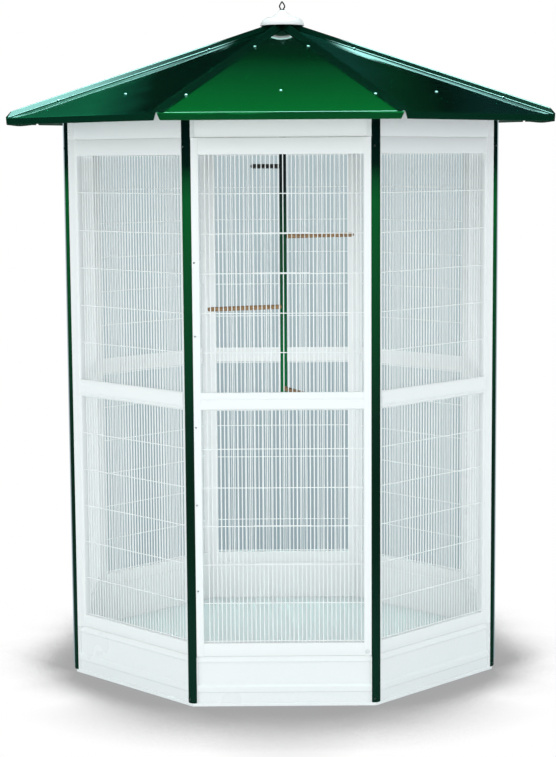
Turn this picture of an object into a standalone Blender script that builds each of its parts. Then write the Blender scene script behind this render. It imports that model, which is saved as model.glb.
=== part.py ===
"""Eight-sided garden aviary: green corner posts, white wire walls and a green sheet-metal roof.

Metres, +Z up. The origin lies on the ground under the middle of the roof, and the door faces -Y.
Every wall piece is drawn once on the door side and then turned about Z to its own side.
"""
import math

import bmesh
import bpy
from mathutils import Matrix, Vector

# Plan of the octagon
SIDES = 8
SIDE_NAMES = (
    "front", "front_right", "right", "back_right",
    "back", "back_left", "left", "front_left",
)
POST_RING = 0.720
POST_RADIUS = 0.014
POST_FACETS = 12
POST_ROUNDING = 0.003
GAP = 0.0003

# Heights of the walls
HEM_HEIGHT = 0.0097
SKIRT_TOP = 0.1505
HEADER_BOTTOM = 1.686
DOOR_RUNNING_GAP = 0.002

# Folded sheet
SHEET = 0.0015
FLANGE_DEPTH = 0.019
HEM_OUT = 0.012
HEM_IN = 0.020
WING_OVERLAP = 0.010

# Outline of the skirt's two pressed beads, as distances out from the wall plane
UPPER_BEAD_OUT = 0.007
UPPER_BEAD_LOW = 0.136
MIDDLE_OUT = 0.004
LOWER_BEAD_TOP = 0.0655
LOWER_BEAD_OUT = 0.010
LOWER_BEAD_LOW = 0.0455
BASE_OUT = 0.007
BEAD_UNDERCUT = 0.004

# Wall frame and door leaf
FRAME_DEPTH = 0.020
STILE_EDGE_GAP = 0.002
GROOVE_DEPTH = 0.006
STILE_WIDTH = 0.0207
BOTTOM_RAIL = 0.0395
TOP_RAIL = 0.049
RAIL_LOW = 0.893
RAIL_HIGH = 0.944
RAIL_OUT = 0.004
RAIL_BACK = 0.004
RAIL_BEVEL = 0.003
RAIL_GROOVE = 0.002
SIDE_RAIL_GROOVE_Z = 0.9050
DOOR_RAIL_GROOVE_Z = 0.9246

# Wire mesh
WIRE = 0.0020
UPRIGHTS = 37
CROSS_WIRES_LOW = 7
CROSS_WIRES_HIGH = 5
CROSS_WIRE_INSET = 0.0045
CROSS_WIRE_RAIL_GAP = 0.0025
CROSS_WIRE_TOP_GAP = 0.113
CROSS_WIRE_DEPTH = 0.0083
WIRE_SEAT = 0.003

# Feeder doors: the gap that one covers runs between two uprights and two cross wires
FEEDER_LEFT_INDEX = 12
FEEDER_RIGHT_INDEX = 25
FEEDER_HIGH_INDEX = 3
FEEDER_LOW_INDEX = 2
HOOK_REACH = 0.0035

# Door pivots and catch
PIVOT_INSET = 0.0095
PIVOT_DEPTH = 0.005
PIVOT_RADIUS = 0.003
PIVOT_REACH = 0.011
PIVOT_FACETS = 8
CATCH_INSET = 0.011
CATCH_HEIGHT = 0.0115
CATCH_RADIUS = 0.0045
CATCH_HEAD_RADIUS = 0.0065
CATCH_HEAD = 0.0015
CATCH_CAM_LENGTH = 0.026
CATCH_CAM_WIDTH = 0.010
CATCH_CAM_THICK = 0.002

# Floor
FLOOR_TOP = 0.020
FLOOR_INSET = 0.0012

# Roof
EAVE_RING = 0.9057
EAVE_RISE = 0.0673
ROOF_SLOPE_RATIO = 0.3576
ROOF_LIP = 0.0215
ROOF_LIP_NOTCH = 0.009
ROOF_HOLE_MARGIN = 0.0046
HIP_MARGIN = 0.0015
CAP_HALF_WIDTH = 0.020
CAP_RIB_HALF_WIDTH = 0.013
CAP_RIB_HEIGHT = 0.018
CAP_TOP_RADIUS = 0.0625
CAP_NOSE = 0.021
EAVE_OVERHANG = 0.002

# Hub, dome and loop at the top
HUB_FACETS = 16
HUB_FLANGE_RADIUS = 0.095
HUB_COLLAR_RADIUS = 0.032
HUB_COLLAR_WALL = 0.003
HUB_PLATE = 0.0035
HUB_BOSS_RADIUS = 0.016
HUB_BOSS_LENGTH = 0.028
DOME_FACETS = 20
DOME_RADIUS = 0.0704
DOME_SHOULDER_RADIUS = 0.033
DOME_SHOULDER_HEIGHT = 0.0285
DOME_STEP = 0.002
DOME_TIP_RADIUS = 0.0085
DOME_HEIGHT = 0.049
DOME_WALL = 0.002
BOLT_RADIUS = 0.0025
LOOP_WIRE = 0.0015
LOOP_NUT_RADIUS = 0.0082
LOOP_NUT_HEIGHT = 0.003
LOOP_HEIGHT = 0.0275
LOOP_HALF_WIDTH = 0.0080
LOOP_SHAPE = ((0.62, -0.05), (0.63, 0.10), (0.93, 0.26), (1.0, 0.42), (0.80, 0.62), (0.42, 0.82))

# Perch tree
POLE_RADIUS = 0.0103
POLE_FACETS = 16
POLE_BOTTOM = 0.858
PERCH_RADIUS = 0.0075
PERCH_LENGTH = 0.257
PERCH_FACETS = 12
PERCH_TIP_ROUNDING = 0.0015
TENON_RADIUS = 0.004
TENON_LENGTH = 0.0055
# Height and heading in degrees from +X towards +Y of each perch
PERCHES = ((1.600, 112.5), (1.378, 22.5), (1.144, 202.5), (0.875, 292.5))

# Sizes that follow from the ones above
HALF_TURN = math.pi / SIDES
MITRE = math.tan(HALF_TURN)
WALL_RING = POST_RING - POST_RADIUS - GAP
WALL_APOTHEM = WALL_RING * math.cos(HALF_TURN)
POST_OFFSET = POST_RING * math.sin(HALF_TURN)
LEAF_HALF = POST_OFFSET - POST_RADIUS - STILE_EDGE_GAP
LEAF_LOW = SKIRT_TOP + DOOR_RUNNING_GAP
LEAF_HIGH = HEADER_BOTTOM - DOOR_RUNNING_GAP
WINDOW_HALF = LEAF_HALF - STILE_WIDTH
WINDOW_LOW = SKIRT_TOP + BOTTOM_RAIL
WINDOW_HIGH = HEADER_BOTTOM - TOP_RAIL
EAVE_Z = HEADER_BOTTOM + EAVE_RISE
EAVE_APOTHEM = EAVE_RING * math.cos(HALF_TURN)
ROOF_HOLE_APOTHEM = HUB_COLLAR_RADIUS + ROOF_HOLE_MARGIN
UPRIGHT_PITCH = 2 * WINDOW_HALF / (UPRIGHTS + 1)
UPRIGHT_DEPTH = CROSS_WIRE_DEPTH + WIRE + GAP
FEEDER_DEPTH = CROSS_WIRE_DEPTH - WIRE - GAP


def mitred_reach(out):
    """Half length of a piece that meets its neighbour on the corner plane, at a distance out."""
    return (WALL_APOTHEM + out) * MITRE - GAP / math.cos(HALF_TURN)


def roof_top(apothem):
    """Height of a roof panel's upper face at a distance from the middle."""
    return EAVE_Z + (EAVE_APOTHEM - apothem) * ROOF_SLOPE_RATIO


def roof_under(apothem):
    """Height at which something seats under a roof panel."""
    drop = (SHEET + GAP) * math.hypot(1, ROOF_SLOPE_RATIO)
    return roof_top(apothem) - drop


def cap_ridge(radius):
    """Height of a hip cap's ridge at a distance from the middle."""
    return roof_top(radius * math.cos(HALF_TURN)) + GAP + CAP_RIB_HEIGHT


DOME_BASE = cap_ridge(CAP_TOP_RADIUS) + GAP


def clear_scene():
    """Empty the scene of the objects that Blender starts with."""
    for old in list(bpy.data.objects):
        bpy.data.objects.remove(old, do_unlink=True)


def paint(name, colour, roughness, metallic):
    """Principled material of one colour."""
    material = bpy.data.materials.new(name)
    material.use_nodes = True
    shader = material.node_tree.nodes["Principled BSDF"]
    shader.inputs["Base Color"].default_value = (*colour, 1.0)
    shader.inputs["Roughness"].default_value = roughness
    shader.inputs["Metallic"].default_value = metallic
    return material


def loft(bm, first, second):
    """Closed solid between two loops that have the same number of corners."""
    lower = [bm.verts.new(point) for point in first]
    upper = [bm.verts.new(point) for point in second]
    count = len(lower)
    for i in range(count):
        j = (i + 1) % count
        bm.faces.new((lower[i], lower[j], upper[j], upper[i]))
    bm.faces.new(lower[::-1])
    bm.faces.new(upper)


def box(bm, low, high):
    """Rectangular block between two corners."""
    corners = ((low[0], low[1]), (high[0], low[1]), (high[0], high[1]), (low[0], high[1]))
    loft(bm, [(x, y, low[2]) for x, y in corners], [(x, y, high[2]) for x, y in corners])


def along_wall(bm, outline, reach):
    """Solid along the door side's wall from an outline of (out, height) and its half length at out."""
    ends = []
    for side in (-1, 1):
        ends.append([(side * reach(out), -WALL_APOTHEM - out, z) for out, z in outline])
    loft(bm, *ends)


def sheet_outline(line, thickness):
    """Closed outline of a bent sheet: the line, and the same line moved to its left."""
    points = [Vector(point) for point in line]
    moved = []
    for i, point in enumerate(points):
        runs = []
        if i > 0:
            runs.append((point - points[i - 1]).normalized())
        if i < len(points) - 1:
            runs.append((points[i + 1] - point).normalized())
        lefts = [Vector((-run.y, run.x)) for run in runs]
        middle = sum(lefts, Vector((0, 0))).normalized()
        moved.append(point + middle * (thickness / middle.dot(lefts[0])))
    return [tuple(point) for point in points + moved[::-1]]


def turned(bm, profile, facets, closed=False):
    """Solid of revolution about Z from (radius, height) points; an end on the axis is a pole."""
    rings = []
    for radius, z in profile:
        if radius == 0:
            rings.append([bm.verts.new((0, 0, z))])
            continue
        angles = [2 * math.pi * k / facets for k in range(facets)]
        rings.append([bm.verts.new((radius * math.cos(a), radius * math.sin(a), z)) for a in angles])
    pairs = list(zip(rings, rings[1:]))
    if closed:
        pairs.append((rings[-1], rings[0]))
    for one, two in pairs:
        for k in range(facets):
            n = (k + 1) % facets
            corners = [one[k % len(one)], one[n % len(one)], two[n % len(two)], two[k % len(two)]]
            bm.faces.new(list(dict.fromkeys(corners)))


def finish(bm, name, smooth=False):
    """Mesh from a bmesh, with its faces pointing outwards."""
    bmesh.ops.recalc_face_normals(bm, faces=bm.faces)
    mesh = bpy.data.meshes.new(name)
    bm.to_mesh(mesh)
    bm.free()
    if smooth:
        mesh.shade_smooth()
        mesh.set_sharp_from_angle(angle=math.radians(50))
    return mesh


def carve(mesh, tool, operation):
    """Mesh that a Boolean makes from two meshes drawn in the same frame."""
    body = bpy.data.objects.new("body", mesh)
    other = bpy.data.objects.new("other", tool)
    for item in (body, other):
        bpy.context.scene.collection.objects.link(item)
    modifier = body.modifiers.new("carve", "BOOLEAN")
    modifier.operation = operation
    modifier.solver = "EXACT"
    modifier.object = other
    depsgraph = bpy.context.evaluated_depsgraph_get()
    result = bpy.data.meshes.new_from_object(body.evaluated_get(depsgraph))
    for item in (body, other):
        bpy.data.objects.remove(item, do_unlink=True)
    result.name = mesh.name
    return result


def place(name, mesh, material, turn=0.0, pivot=None, parent=None):
    """Object for a mesh: turned about Z, or with its origin moved onto its joint's axis."""
    if pivot is not None:
        mesh.transform(Matrix.Translation(-Vector(pivot)))
    if not mesh.materials:
        mesh.materials.append(material)
    item = bpy.data.objects.new(name, mesh)
    bpy.context.scene.collection.objects.link(item)
    item.rotation_euler.z = turn
    if pivot is not None:
        item.location = pivot
    if parent is not None:
        item.parent = parent
        item.location = Vector(pivot) - parent.location
    return item


def post_mesh():
    """Round post that stands on the skirts' hems and reaches up under the roof."""
    outside = POST_RING + POST_RADIUS
    top = roof_under(outside * math.cos(HALF_TURN))
    bottom = HEM_HEIGHT + GAP
    bm = bmesh.new()
    turned(bm, [
        (0, bottom),
        (POST_RADIUS - POST_ROUNDING, bottom),
        (POST_RADIUS, bottom + POST_ROUNDING),
        (POST_RADIUS, top),
        (0, top),
    ], POST_FACETS)
    return finish(bm, "post", smooth=True)


def skirt_mesh():
    """Folded base sheet: two pressed beads, a top flange, wings behind the posts and a hem."""
    line = [
        (BASE_OUT, HEM_HEIGHT / 2),
        (BASE_OUT, LOWER_BEAD_LOW - BEAD_UNDERCUT),
        (LOWER_BEAD_OUT, LOWER_BEAD_LOW),
        (LOWER_BEAD_OUT, LOWER_BEAD_TOP - (LOWER_BEAD_OUT - MIDDLE_OUT)),
        (MIDDLE_OUT, LOWER_BEAD_TOP),
        (MIDDLE_OUT, UPPER_BEAD_LOW - BEAD_UNDERCUT),
        (UPPER_BEAD_OUT, UPPER_BEAD_LOW),
        (UPPER_BEAD_OUT, SKIRT_TOP - 2 * UPPER_BEAD_OUT + GAP),
        (0, SKIRT_TOP),
        (-FLANGE_DEPTH, SKIRT_TOP),
    ]
    body = bmesh.new()
    reach = POST_OFFSET - POST_RADIUS - GAP
    along_wall(body, sheet_outline(line, SHEET), lambda out: reach)
    wings = bmesh.new()
    inside = FLANGE_DEPTH - GAP
    for side in (-1, 1):
        plan = [
            (reach - WING_OVERLAP, inside - SHEET),
            (mitred_reach(SHEET - inside), inside - SHEET),
            (mitred_reach(-inside), inside),
            (reach - WING_OVERLAP, inside),
        ]
        loops = []
        for z in (FLOOR_TOP + GAP, SKIRT_TOP - SHEET / 2):
            loops.append([(side * x, -WALL_APOTHEM + depth, z) for x, depth in plan])
        loft(wings, *loops)
    body = carve(finish(body, "skirt"), finish(wings, "wings"), "UNION")
    hem = bmesh.new()
    outline = [(-HEM_IN, 0), (HEM_OUT, 0), (HEM_OUT, HEM_HEIGHT), (-HEM_IN, HEM_HEIGHT)]
    along_wall(hem, outline, mitred_reach)
    return carve(body, finish(hem, "hem"), "UNION")


def header_mesh():
    """Folded sheet between the wall's top and the roof, with a flange under the roof panel."""
    top = roof_under(WALL_APOTHEM)
    line = [
        (-FLANGE_DEPTH, HEADER_BOTTOM),
        (0, HEADER_BOTTOM),
        (0, top),
        (-FLANGE_DEPTH, top + FLANGE_DEPTH * ROOF_SLOPE_RATIO),
    ]
    bm = bmesh.new()
    along_wall(bm, sheet_outline(line, SHEET), mitred_reach)
    return finish(bm, "header")


def pivot_hole(z):
    """Cutter for a door pivot's hole in a flange."""
    bm = bmesh.new()
    radius = PIVOT_RADIUS + GAP
    turned(bm, [(0, z - PIVOT_REACH), (radius, z - PIVOT_REACH), (radius, z + PIVOT_REACH),
                (0, z + PIVOT_REACH)], PIVOT_FACETS)
    bmesh.ops.translate(bm, vec=(pivot_x(), pivot_y(), 0), verts=bm.verts)
    return finish(bm, "pivot_hole")


def pivot_x():
    """Distance of the door's turning axis along the wall."""
    return -LEAF_HALF + PIVOT_INSET


def pivot_y():
    """Depth of the door's turning axis."""
    return -WALL_APOTHEM + PIVOT_DEPTH


def rail_outline(groove):
    """Outline of a middle rail with bevelled edges and one groove along its face."""
    return [
        (-RAIL_BACK, RAIL_LOW),
        (0, RAIL_LOW),
        (RAIL_OUT, RAIL_LOW + RAIL_BEVEL),
        (RAIL_OUT, groove - RAIL_GROOVE),
        (RAIL_OUT - RAIL_GROOVE, groove),
        (RAIL_OUT, groove + RAIL_GROOVE),
        (RAIL_OUT, RAIL_HIGH - RAIL_BEVEL),
        (0, RAIL_HIGH),
        (-RAIL_BACK, RAIL_HIGH),
    ]


def upright_x(index):
    """Place of an upright wire along the wall, counted from 1 at the left."""
    return -WINDOW_HALF + index * UPRIGHT_PITCH


def cross_wire_heights():
    """Heights of the cross wires below and above the middle rail."""
    first = WINDOW_LOW + CROSS_WIRE_INSET
    low_pitch = (RAIL_LOW - CROSS_WIRE_RAIL_GAP - first) / (CROSS_WIRES_LOW - 1)
    high_pitch = (WINDOW_HIGH - CROSS_WIRE_TOP_GAP - RAIL_HIGH) / CROSS_WIRES_HIGH
    low = [first + k * low_pitch for k in range(CROSS_WIRES_LOW)]
    high = [RAIL_HIGH + (k + 1) * high_pitch for k in range(CROSS_WIRES_HIGH)]
    return low, high


def wire_block(bm, x, depth, z):
    """Square wire: each of the three is a centre or a (low, high) pair, depth counted inwards."""
    spans = []
    for value in (x, depth, z):
        if isinstance(value, tuple):
            spans.append(value)
        else:
            spans.append((value - WIRE / 2, value + WIRE / 2))
    (x0, x1), (d0, d1), (z0, z1) = spans
    box(bm, (x0, -WALL_APOTHEM + d0, z0), (x1, -WALL_APOTHEM + d1, z1))


def feeder_spans():
    """Heights of the two cross wires that bound each feeder gap, lower gap first."""
    low, high = cross_wire_heights()
    return (
        (low[FEEDER_LOW_INDEX], low[FEEDER_LOW_INDEX + 1]),
        (high[FEEDER_HIGH_INDEX - 1], high[FEEDER_HIGH_INDEX]),
    )


def wires_mesh(gaps):
    """All wires of one wall; uprights between the feeder gap's sides leave each gap free."""
    bm = bmesh.new()
    ends = (WINDOW_LOW - WIRE_SEAT, WINDOW_HIGH + WIRE_SEAT)
    for index in range(1, UPRIGHTS + 1):
        stops = [ends[0]]
        if FEEDER_LEFT_INDEX < index < FEEDER_RIGHT_INDEX:
            for low, high in gaps:
                stops.extend((low + WIRE / 2, high - WIRE / 2))
        stops.append(ends[1])
        for low, high in zip(stops[::2], stops[1::2]):
            wire_block(bm, upright_x(index), UPRIGHT_DEPTH, (low, high))
    low, high = cross_wire_heights()
    side = WINDOW_HALF + WIRE_SEAT
    for z in low + high:
        wire_block(bm, (-side, side), CROSS_WIRE_DEPTH, z)
    return finish(bm, "wires")


def welds_mesh(z):
    """Welds that hold the uprights cut off at both ends to the cross wire at a height."""
    bm = bmesh.new()
    for index in range(FEEDER_LEFT_INDEX + 1, FEEDER_RIGHT_INDEX):
        x = upright_x(index)
        side = WIRE / 4
        wire_block(bm, (x - side, x + side), (CROSS_WIRE_DEPTH, UPRIGHT_DEPTH), (z - side, z + side))
    return finish(bm, "welds")


def frame_outline(meets_neighbour):
    """Plan of a wall frame as (x, depth), with a groove beside the posts on the fixed walls."""
    if not meets_neighbour:
        half = [(LEAF_HALF, 0), (LEAF_HALF, FRAME_DEPTH)]
    else:
        half = [
            (LEAF_HALF, 0),
            (LEAF_HALF, GROOVE_DEPTH),
            (mitred_reach(-GROOVE_DEPTH), GROOVE_DEPTH),
            (mitred_reach(-FRAME_DEPTH), FRAME_DEPTH),
        ]
    return half + [(-x, depth) for x, depth in reversed(half)]


def frame_mesh(outline, low, high, groove):
    """Stiles, top and bottom rail in one ring, with the middle rail across it."""
    bm = bmesh.new()
    plan = [(x, -WALL_APOTHEM + depth) for x, depth in outline]
    loft(bm, [(x, y, low) for x, y in plan], [(x, y, high) for x, y in plan])
    ring = finish(bm, "frame")
    bm = bmesh.new()
    box(bm, (-WINDOW_HALF, -WALL_APOTHEM - FRAME_DEPTH, WINDOW_LOW),
        (WINDOW_HALF, -WALL_APOTHEM + 2 * FRAME_DEPTH, WINDOW_HIGH))
    ring = carve(ring, finish(bm, "window"), "DIFFERENCE")
    bm = bmesh.new()
    along_wall(bm, rail_outline(groove), lambda out: WINDOW_HALF + WIRE_SEAT)
    return carve(ring, finish(bm, "rail"), "UNION")


def wall_mesh():
    """Fixed wall: frame and welded wires, seated between the skirt and the header."""
    frame = frame_mesh(frame_outline(True), SKIRT_TOP + GAP, HEADER_BOTTOM - GAP,
                       SIDE_RAIL_GROOVE_Z)
    mesh = carve(frame, wires_mesh(()), "UNION")
    mesh.name = "wall_panel"
    return mesh


def door_mesh():
    """Door leaf: frame, wires with the two feeder gaps, and a pivot at the top and the bottom."""
    gaps = feeder_spans()
    frame = frame_mesh(frame_outline(False), LEAF_LOW, LEAF_HIGH, DOOR_RAIL_GROOVE_Z)
    pivots = bmesh.new()
    lower_pivot = (LEAF_LOW - PIVOT_REACH / 2, LEAF_LOW + PIVOT_REACH)
    upper_pivot = (LEAF_HIGH - PIVOT_REACH, LEAF_HIGH + PIVOT_REACH / 2)
    for start, stop in (lower_pivot, upper_pivot):
        turned(pivots, [(0, start), (PIVOT_RADIUS, start), (PIVOT_RADIUS, stop), (0, stop)],
               PIVOT_FACETS)
    bmesh.ops.translate(pivots, vec=(pivot_x(), pivot_y(), 0), verts=pivots.verts)
    frame = carve(frame, finish(pivots, "pivots"), "UNION")
    bore = bmesh.new()
    wide = CATCH_RADIUS + GAP
    across_wall(bore, [(0, -FRAME_DEPTH), (wide, -FRAME_DEPTH), (wide, 2 * FRAME_DEPTH),
                       (0, 2 * FRAME_DEPTH)])
    frame = carve(frame, finish(bore, "bore"), "DIFFERENCE")
    wires = carve(wires_mesh(gaps), welds_mesh(gaps[0][1]), "UNION")
    mesh = carve(frame, wires, "UNION")
    mesh.name = "door_leaf"
    return mesh


def across_wall(bm, profile):
    """Turned shape on the catch's axis, from (radius, depth) pairs."""
    bar = bmesh.new()
    turned(bar, profile, POST_FACETS)
    turn = Matrix.Rotation(-math.pi / 2, 4, "X")
    spot = Matrix.Translation((catch_x(), -WALL_APOTHEM, catch_z()))
    bmesh.ops.transform(bar, matrix=spot @ turn, verts=bar.verts)
    join(bm, bar)


def join(bm, other):
    """Take another bmesh's faces into this one."""
    mesh = bpy.data.meshes.new("joined")
    other.to_mesh(mesh)
    other.free()
    bm.from_mesh(mesh)
    bpy.data.meshes.remove(mesh)


def catch_x():
    """Place of the catch along the wall, in the stile opposite the pivots."""
    return LEAF_HALF - CATCH_INSET


def catch_z():
    """Height of the catch, in the door's bottom rail."""
    return LEAF_LOW + CATCH_HEIGHT


def catch_mesh():
    """Quarter-turn catch: round head outside, barrel through the rail, cam behind it."""
    inside = FRAME_DEPTH + GAP
    outside = -GAP - CATCH_HEAD
    end = inside + CATCH_CAM_THICK / 2
    barrel = bmesh.new()
    across_wall(barrel, [(0, outside), (CATCH_HEAD_RADIUS, outside), (CATCH_HEAD_RADIUS, -GAP),
                         (CATCH_RADIUS, -GAP), (CATCH_RADIUS, end), (0, end)])
    cam = bmesh.new()
    face = -WALL_APOTHEM + inside
    half = CATCH_CAM_WIDTH / 2
    box(cam, (catch_x() - CATCH_CAM_LENGTH, face, catch_z() - half),
        (catch_x() + CATCH_HEAD_RADIUS, face + CATCH_CAM_THICK, catch_z() + half))
    return carve(finish(barrel, "catch"), finish(cam, "cam"), "UNION")


def feeder_mesh(low, high):
    """Sliding wire door for a feeder gap; its cross wires hook round the gap's two outer uprights."""
    left = upright_x(FEEDER_LEFT_INDEX)
    right = upright_x(FEEDER_RIGHT_INDEX)
    front = FEEDER_DEPTH - WIRE / 2
    behind = UPRIGHT_DEPTH + WIRE / 2 + GAP
    half = [
        (HOOK_REACH, front),
        (HOOK_REACH, behind + WIRE),
        (-WIRE / 2, behind + WIRE),
        (-WIRE / 2, behind),
        (HOOK_REACH - WIRE, behind),
        (HOOK_REACH - WIRE, front + WIRE),
    ]
    plan = [(right + x, depth) for x, depth in half]
    plan += [(left - x, depth) for x, depth in reversed(half)]
    rise = WIRE + GAP
    hoops = bmesh.new()
    for z in (low + rise, high + rise):
        loops = []
        for edge in (z - WIRE / 2, z + WIRE / 2):
            loops.append([(x, -WALL_APOTHEM + depth, edge) for x, depth in plan])
        loft(hoops, *loops)
    bars = bmesh.new()
    thick = WIRE / 3
    for index in range(FEEDER_LEFT_INDEX, FEEDER_RIGHT_INDEX + 1):
        x = upright_x(index)
        wire_block(bars, (x - thick, x + thick), (FEEDER_DEPTH - thick, FEEDER_DEPTH + thick),
                   (low + rise, high + rise))
    return carve(finish(hoops, "feeder_door"), finish(bars, "bars"), "UNION")


def tray_mesh():
    """Floor sheet whose turned-down edge stands on the skirts' hems."""
    edge = (WALL_APOTHEM - FLOOR_INSET) / math.cos(HALF_TURN)
    inner = edge - SHEET / math.cos(HALF_TURN)
    bm = bmesh.new()
    turned(bm, [(0, FLOOR_TOP), (edge, FLOOR_TOP), (edge, HEM_HEIGHT + GAP),
                (inner, HEM_HEIGHT + GAP), (inner, FLOOR_TOP - SHEET), (0, FLOOR_TOP - SHEET)], SIDES)
    return finish(bm, "floor_tray")


def roof_panel_mesh():
    """Roof panel with a turned-down lip, its ends cut back into a notch at each corner."""
    eave = EAVE_APOTHEM - WALL_APOTHEM
    line = [
        (eave, EAVE_Z - ROOF_LIP),
        (eave, EAVE_Z),
        (ROOF_HOLE_APOTHEM - WALL_APOTHEM, roof_top(ROOF_HOLE_APOTHEM)),
    ]
    outline = sheet_outline(line, SHEET)
    ends = []
    for side in (-1, 1):
        loop = []
        for out, z in outline:
            reach = mitred_reach(out) - HIP_MARGIN
            if z < EAVE_Z - SHEET * 2:
                reach -= ROOF_LIP_NOTCH
            loop.append((side * reach, -WALL_APOTHEM - out, z))
        ends.append(loop)
    bm = bmesh.new()
    loft(bm, *ends)
    return finish(bm, "roof_panel")


def hip_cap_mesh():
    """Raised cover over a roof joint: a folded rib with a flange on each of the two panels."""
    fall = math.sin(HALF_TURN) * ROOF_SLOPE_RATIO
    steepness = math.hypot(1, CAP_RIB_HEIGHT / CAP_RIB_HALF_WIDTH)
    halves = (CAP_HALF_WIDTH, CAP_RIB_HALF_WIDTH, 0, CAP_RIB_HALF_WIDTH, CAP_HALF_WIDTH)
    line = []
    for number, half in enumerate(halves):
        side = half if number > 2 else -half
        rise = CAP_RIB_HEIGHT - SHEET * steepness if half == 0 else 0
        line.append((side, GAP - half * fall + rise))
    outline = sheet_outline(line, SHEET)
    ends = []
    for lower in (True, False):
        loop = []
        for across, above in outline:
            ring = CAP_TOP_RADIUS
            if lower:
                apothem = EAVE_APOTHEM + EAVE_OVERHANG - abs(across) * math.sin(HALF_TURN)
                ring = apothem / math.cos(HALF_TURN)
                if above > CAP_RIB_HEIGHT / 2:
                    ring -= CAP_NOSE
            z = roof_top(ring * math.cos(HALF_TURN)) + above
            loop.append((across, -ring, z))
        ends.append(loop)
    bm = bmesh.new()
    loft(bm, *ends)
    return finish(bm, "hip_cap")


def hub_mesh():
    """Hub inside the roof's top: cone under the panels, collar through the hole, pole socket."""
    top = DOME_BASE - GAP
    plate = top - HUB_PLATE
    slope = math.hypot(1, ROOF_SLOPE_RATIO)
    inner = HUB_COLLAR_RADIUS - HUB_COLLAR_WALL
    socket = POLE_RADIUS + GAP
    bm = bmesh.new()
    turned(bm, [
        (BOLT_RADIUS + GAP, top),
        (HUB_COLLAR_RADIUS, top),
        (HUB_COLLAR_RADIUS, roof_under(HUB_COLLAR_RADIUS)),
        (HUB_FLANGE_RADIUS, roof_under(HUB_FLANGE_RADIUS)),
        (HUB_FLANGE_RADIUS, roof_under(HUB_FLANGE_RADIUS) - SHEET * slope),
        (inner, roof_under(inner) - SHEET * slope),
        (inner, plate),
        (HUB_BOSS_RADIUS, plate),
        (HUB_BOSS_RADIUS, plate - HUB_BOSS_LENGTH),
        (socket, plate - HUB_BOSS_LENGTH),
        (socket, plate),
        (BOLT_RADIUS + GAP, plate),
    ], HUB_FACETS, closed=True)
    return finish(bm, "roof_hub", smooth=True)


def dome_mesh():
    """Spun dome with a flat base ring, a step and a small cone that the loop's bolt goes through."""
    base = DOME_BASE
    shoulder = base + DOME_SHOULDER_HEIGHT
    outside = [(DOME_RADIUS, base), (DOME_RADIUS, base + DOME_WALL)]
    for angle in (25, 50, 72):
        turn = math.radians(angle)
        radius = DOME_SHOULDER_RADIUS + (DOME_RADIUS - DOME_SHOULDER_RADIUS) * math.cos(turn)
        rise = (DOME_SHOULDER_HEIGHT - DOME_WALL) * math.sin(turn)
        outside.append((radius, base + DOME_WALL + rise))
    outside += [
        (DOME_SHOULDER_RADIUS, shoulder),
        (DOME_SHOULDER_RADIUS - DOME_STEP, shoulder + DOME_STEP),
        (DOME_TIP_RADIUS, base + DOME_HEIGHT),
    ]
    tip = base + DOME_HEIGHT
    hollow = [(BOLT_RADIUS + GAP, tip), (BOLT_RADIUS + GAP, tip - DOME_WALL)]
    for radius, z in reversed(outside[2:]):
        hollow.append((radius - DOME_WALL, z - DOME_WALL))
    seat = HUB_COLLAR_RADIUS - HUB_COLLAR_WALL
    hollow += [(DOME_RADIUS - DOME_WALL, base + DOME_WALL), (seat, base + DOME_WALL), (seat, base)]
    bm = bmesh.new()
    turned(bm, outside + hollow, DOME_FACETS, closed=True)
    return finish(bm, "finial_dome", smooth=True)


def tube(bm, points, radius, facets):
    """Round wire through points in the plane y = 0, its ends closed."""
    rings = []
    for i, point in enumerate(points):
        before = Vector(points[max(i - 1, 0)])
        after = Vector(points[min(i + 1, len(points) - 1)])
        along = (after - before).normalized()
        side = Vector((along.y, -along.x))
        ring = []
        for k in range(facets):
            angle = 2 * math.pi * k / facets
            away = side * (radius * math.cos(angle))
            ring.append((point[0] + away.x, radius * math.sin(angle), point[1] + away.y))
        rings.append([bm.verts.new(corner) for corner in ring])
    for one, two in zip(rings, rings[1:]):
        for k in range(facets):
            n = (k + 1) % facets
            bm.faces.new((one[k], one[n], two[n], two[k]))
    bm.faces.new(rings[0][::-1])
    bm.faces.new(rings[-1])


def loop_mesh():
    """Hanging loop: pointed wire hoop on a nut, with a bolt down through the dome to the hub."""
    foot = DOME_BASE + DOME_HEIGHT + GAP
    seat = foot + LOOP_NUT_HEIGHT
    points = [(LOOP_HALF_WIDTH * wide, seat + LOOP_HEIGHT * high) for wide, high in LOOP_SHAPE]
    points.append((0, foot + LOOP_HEIGHT))
    points += [(-x, z) for x, z in reversed(points[:-1])]
    hoop = bmesh.new()
    tube(hoop, points, LOOP_WIRE, PIVOT_FACETS)
    nut = bmesh.new()
    bottom = DOME_BASE - HUB_PLATE
    turned(nut, [(0, bottom), (BOLT_RADIUS, bottom), (BOLT_RADIUS, foot), (LOOP_NUT_RADIUS, foot),
                 (LOOP_NUT_RADIUS, seat), (0, seat)], POST_FACETS)
    return carve(finish(nut, "finial_loop"), finish(hoop, "hoop"), "UNION")


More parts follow.
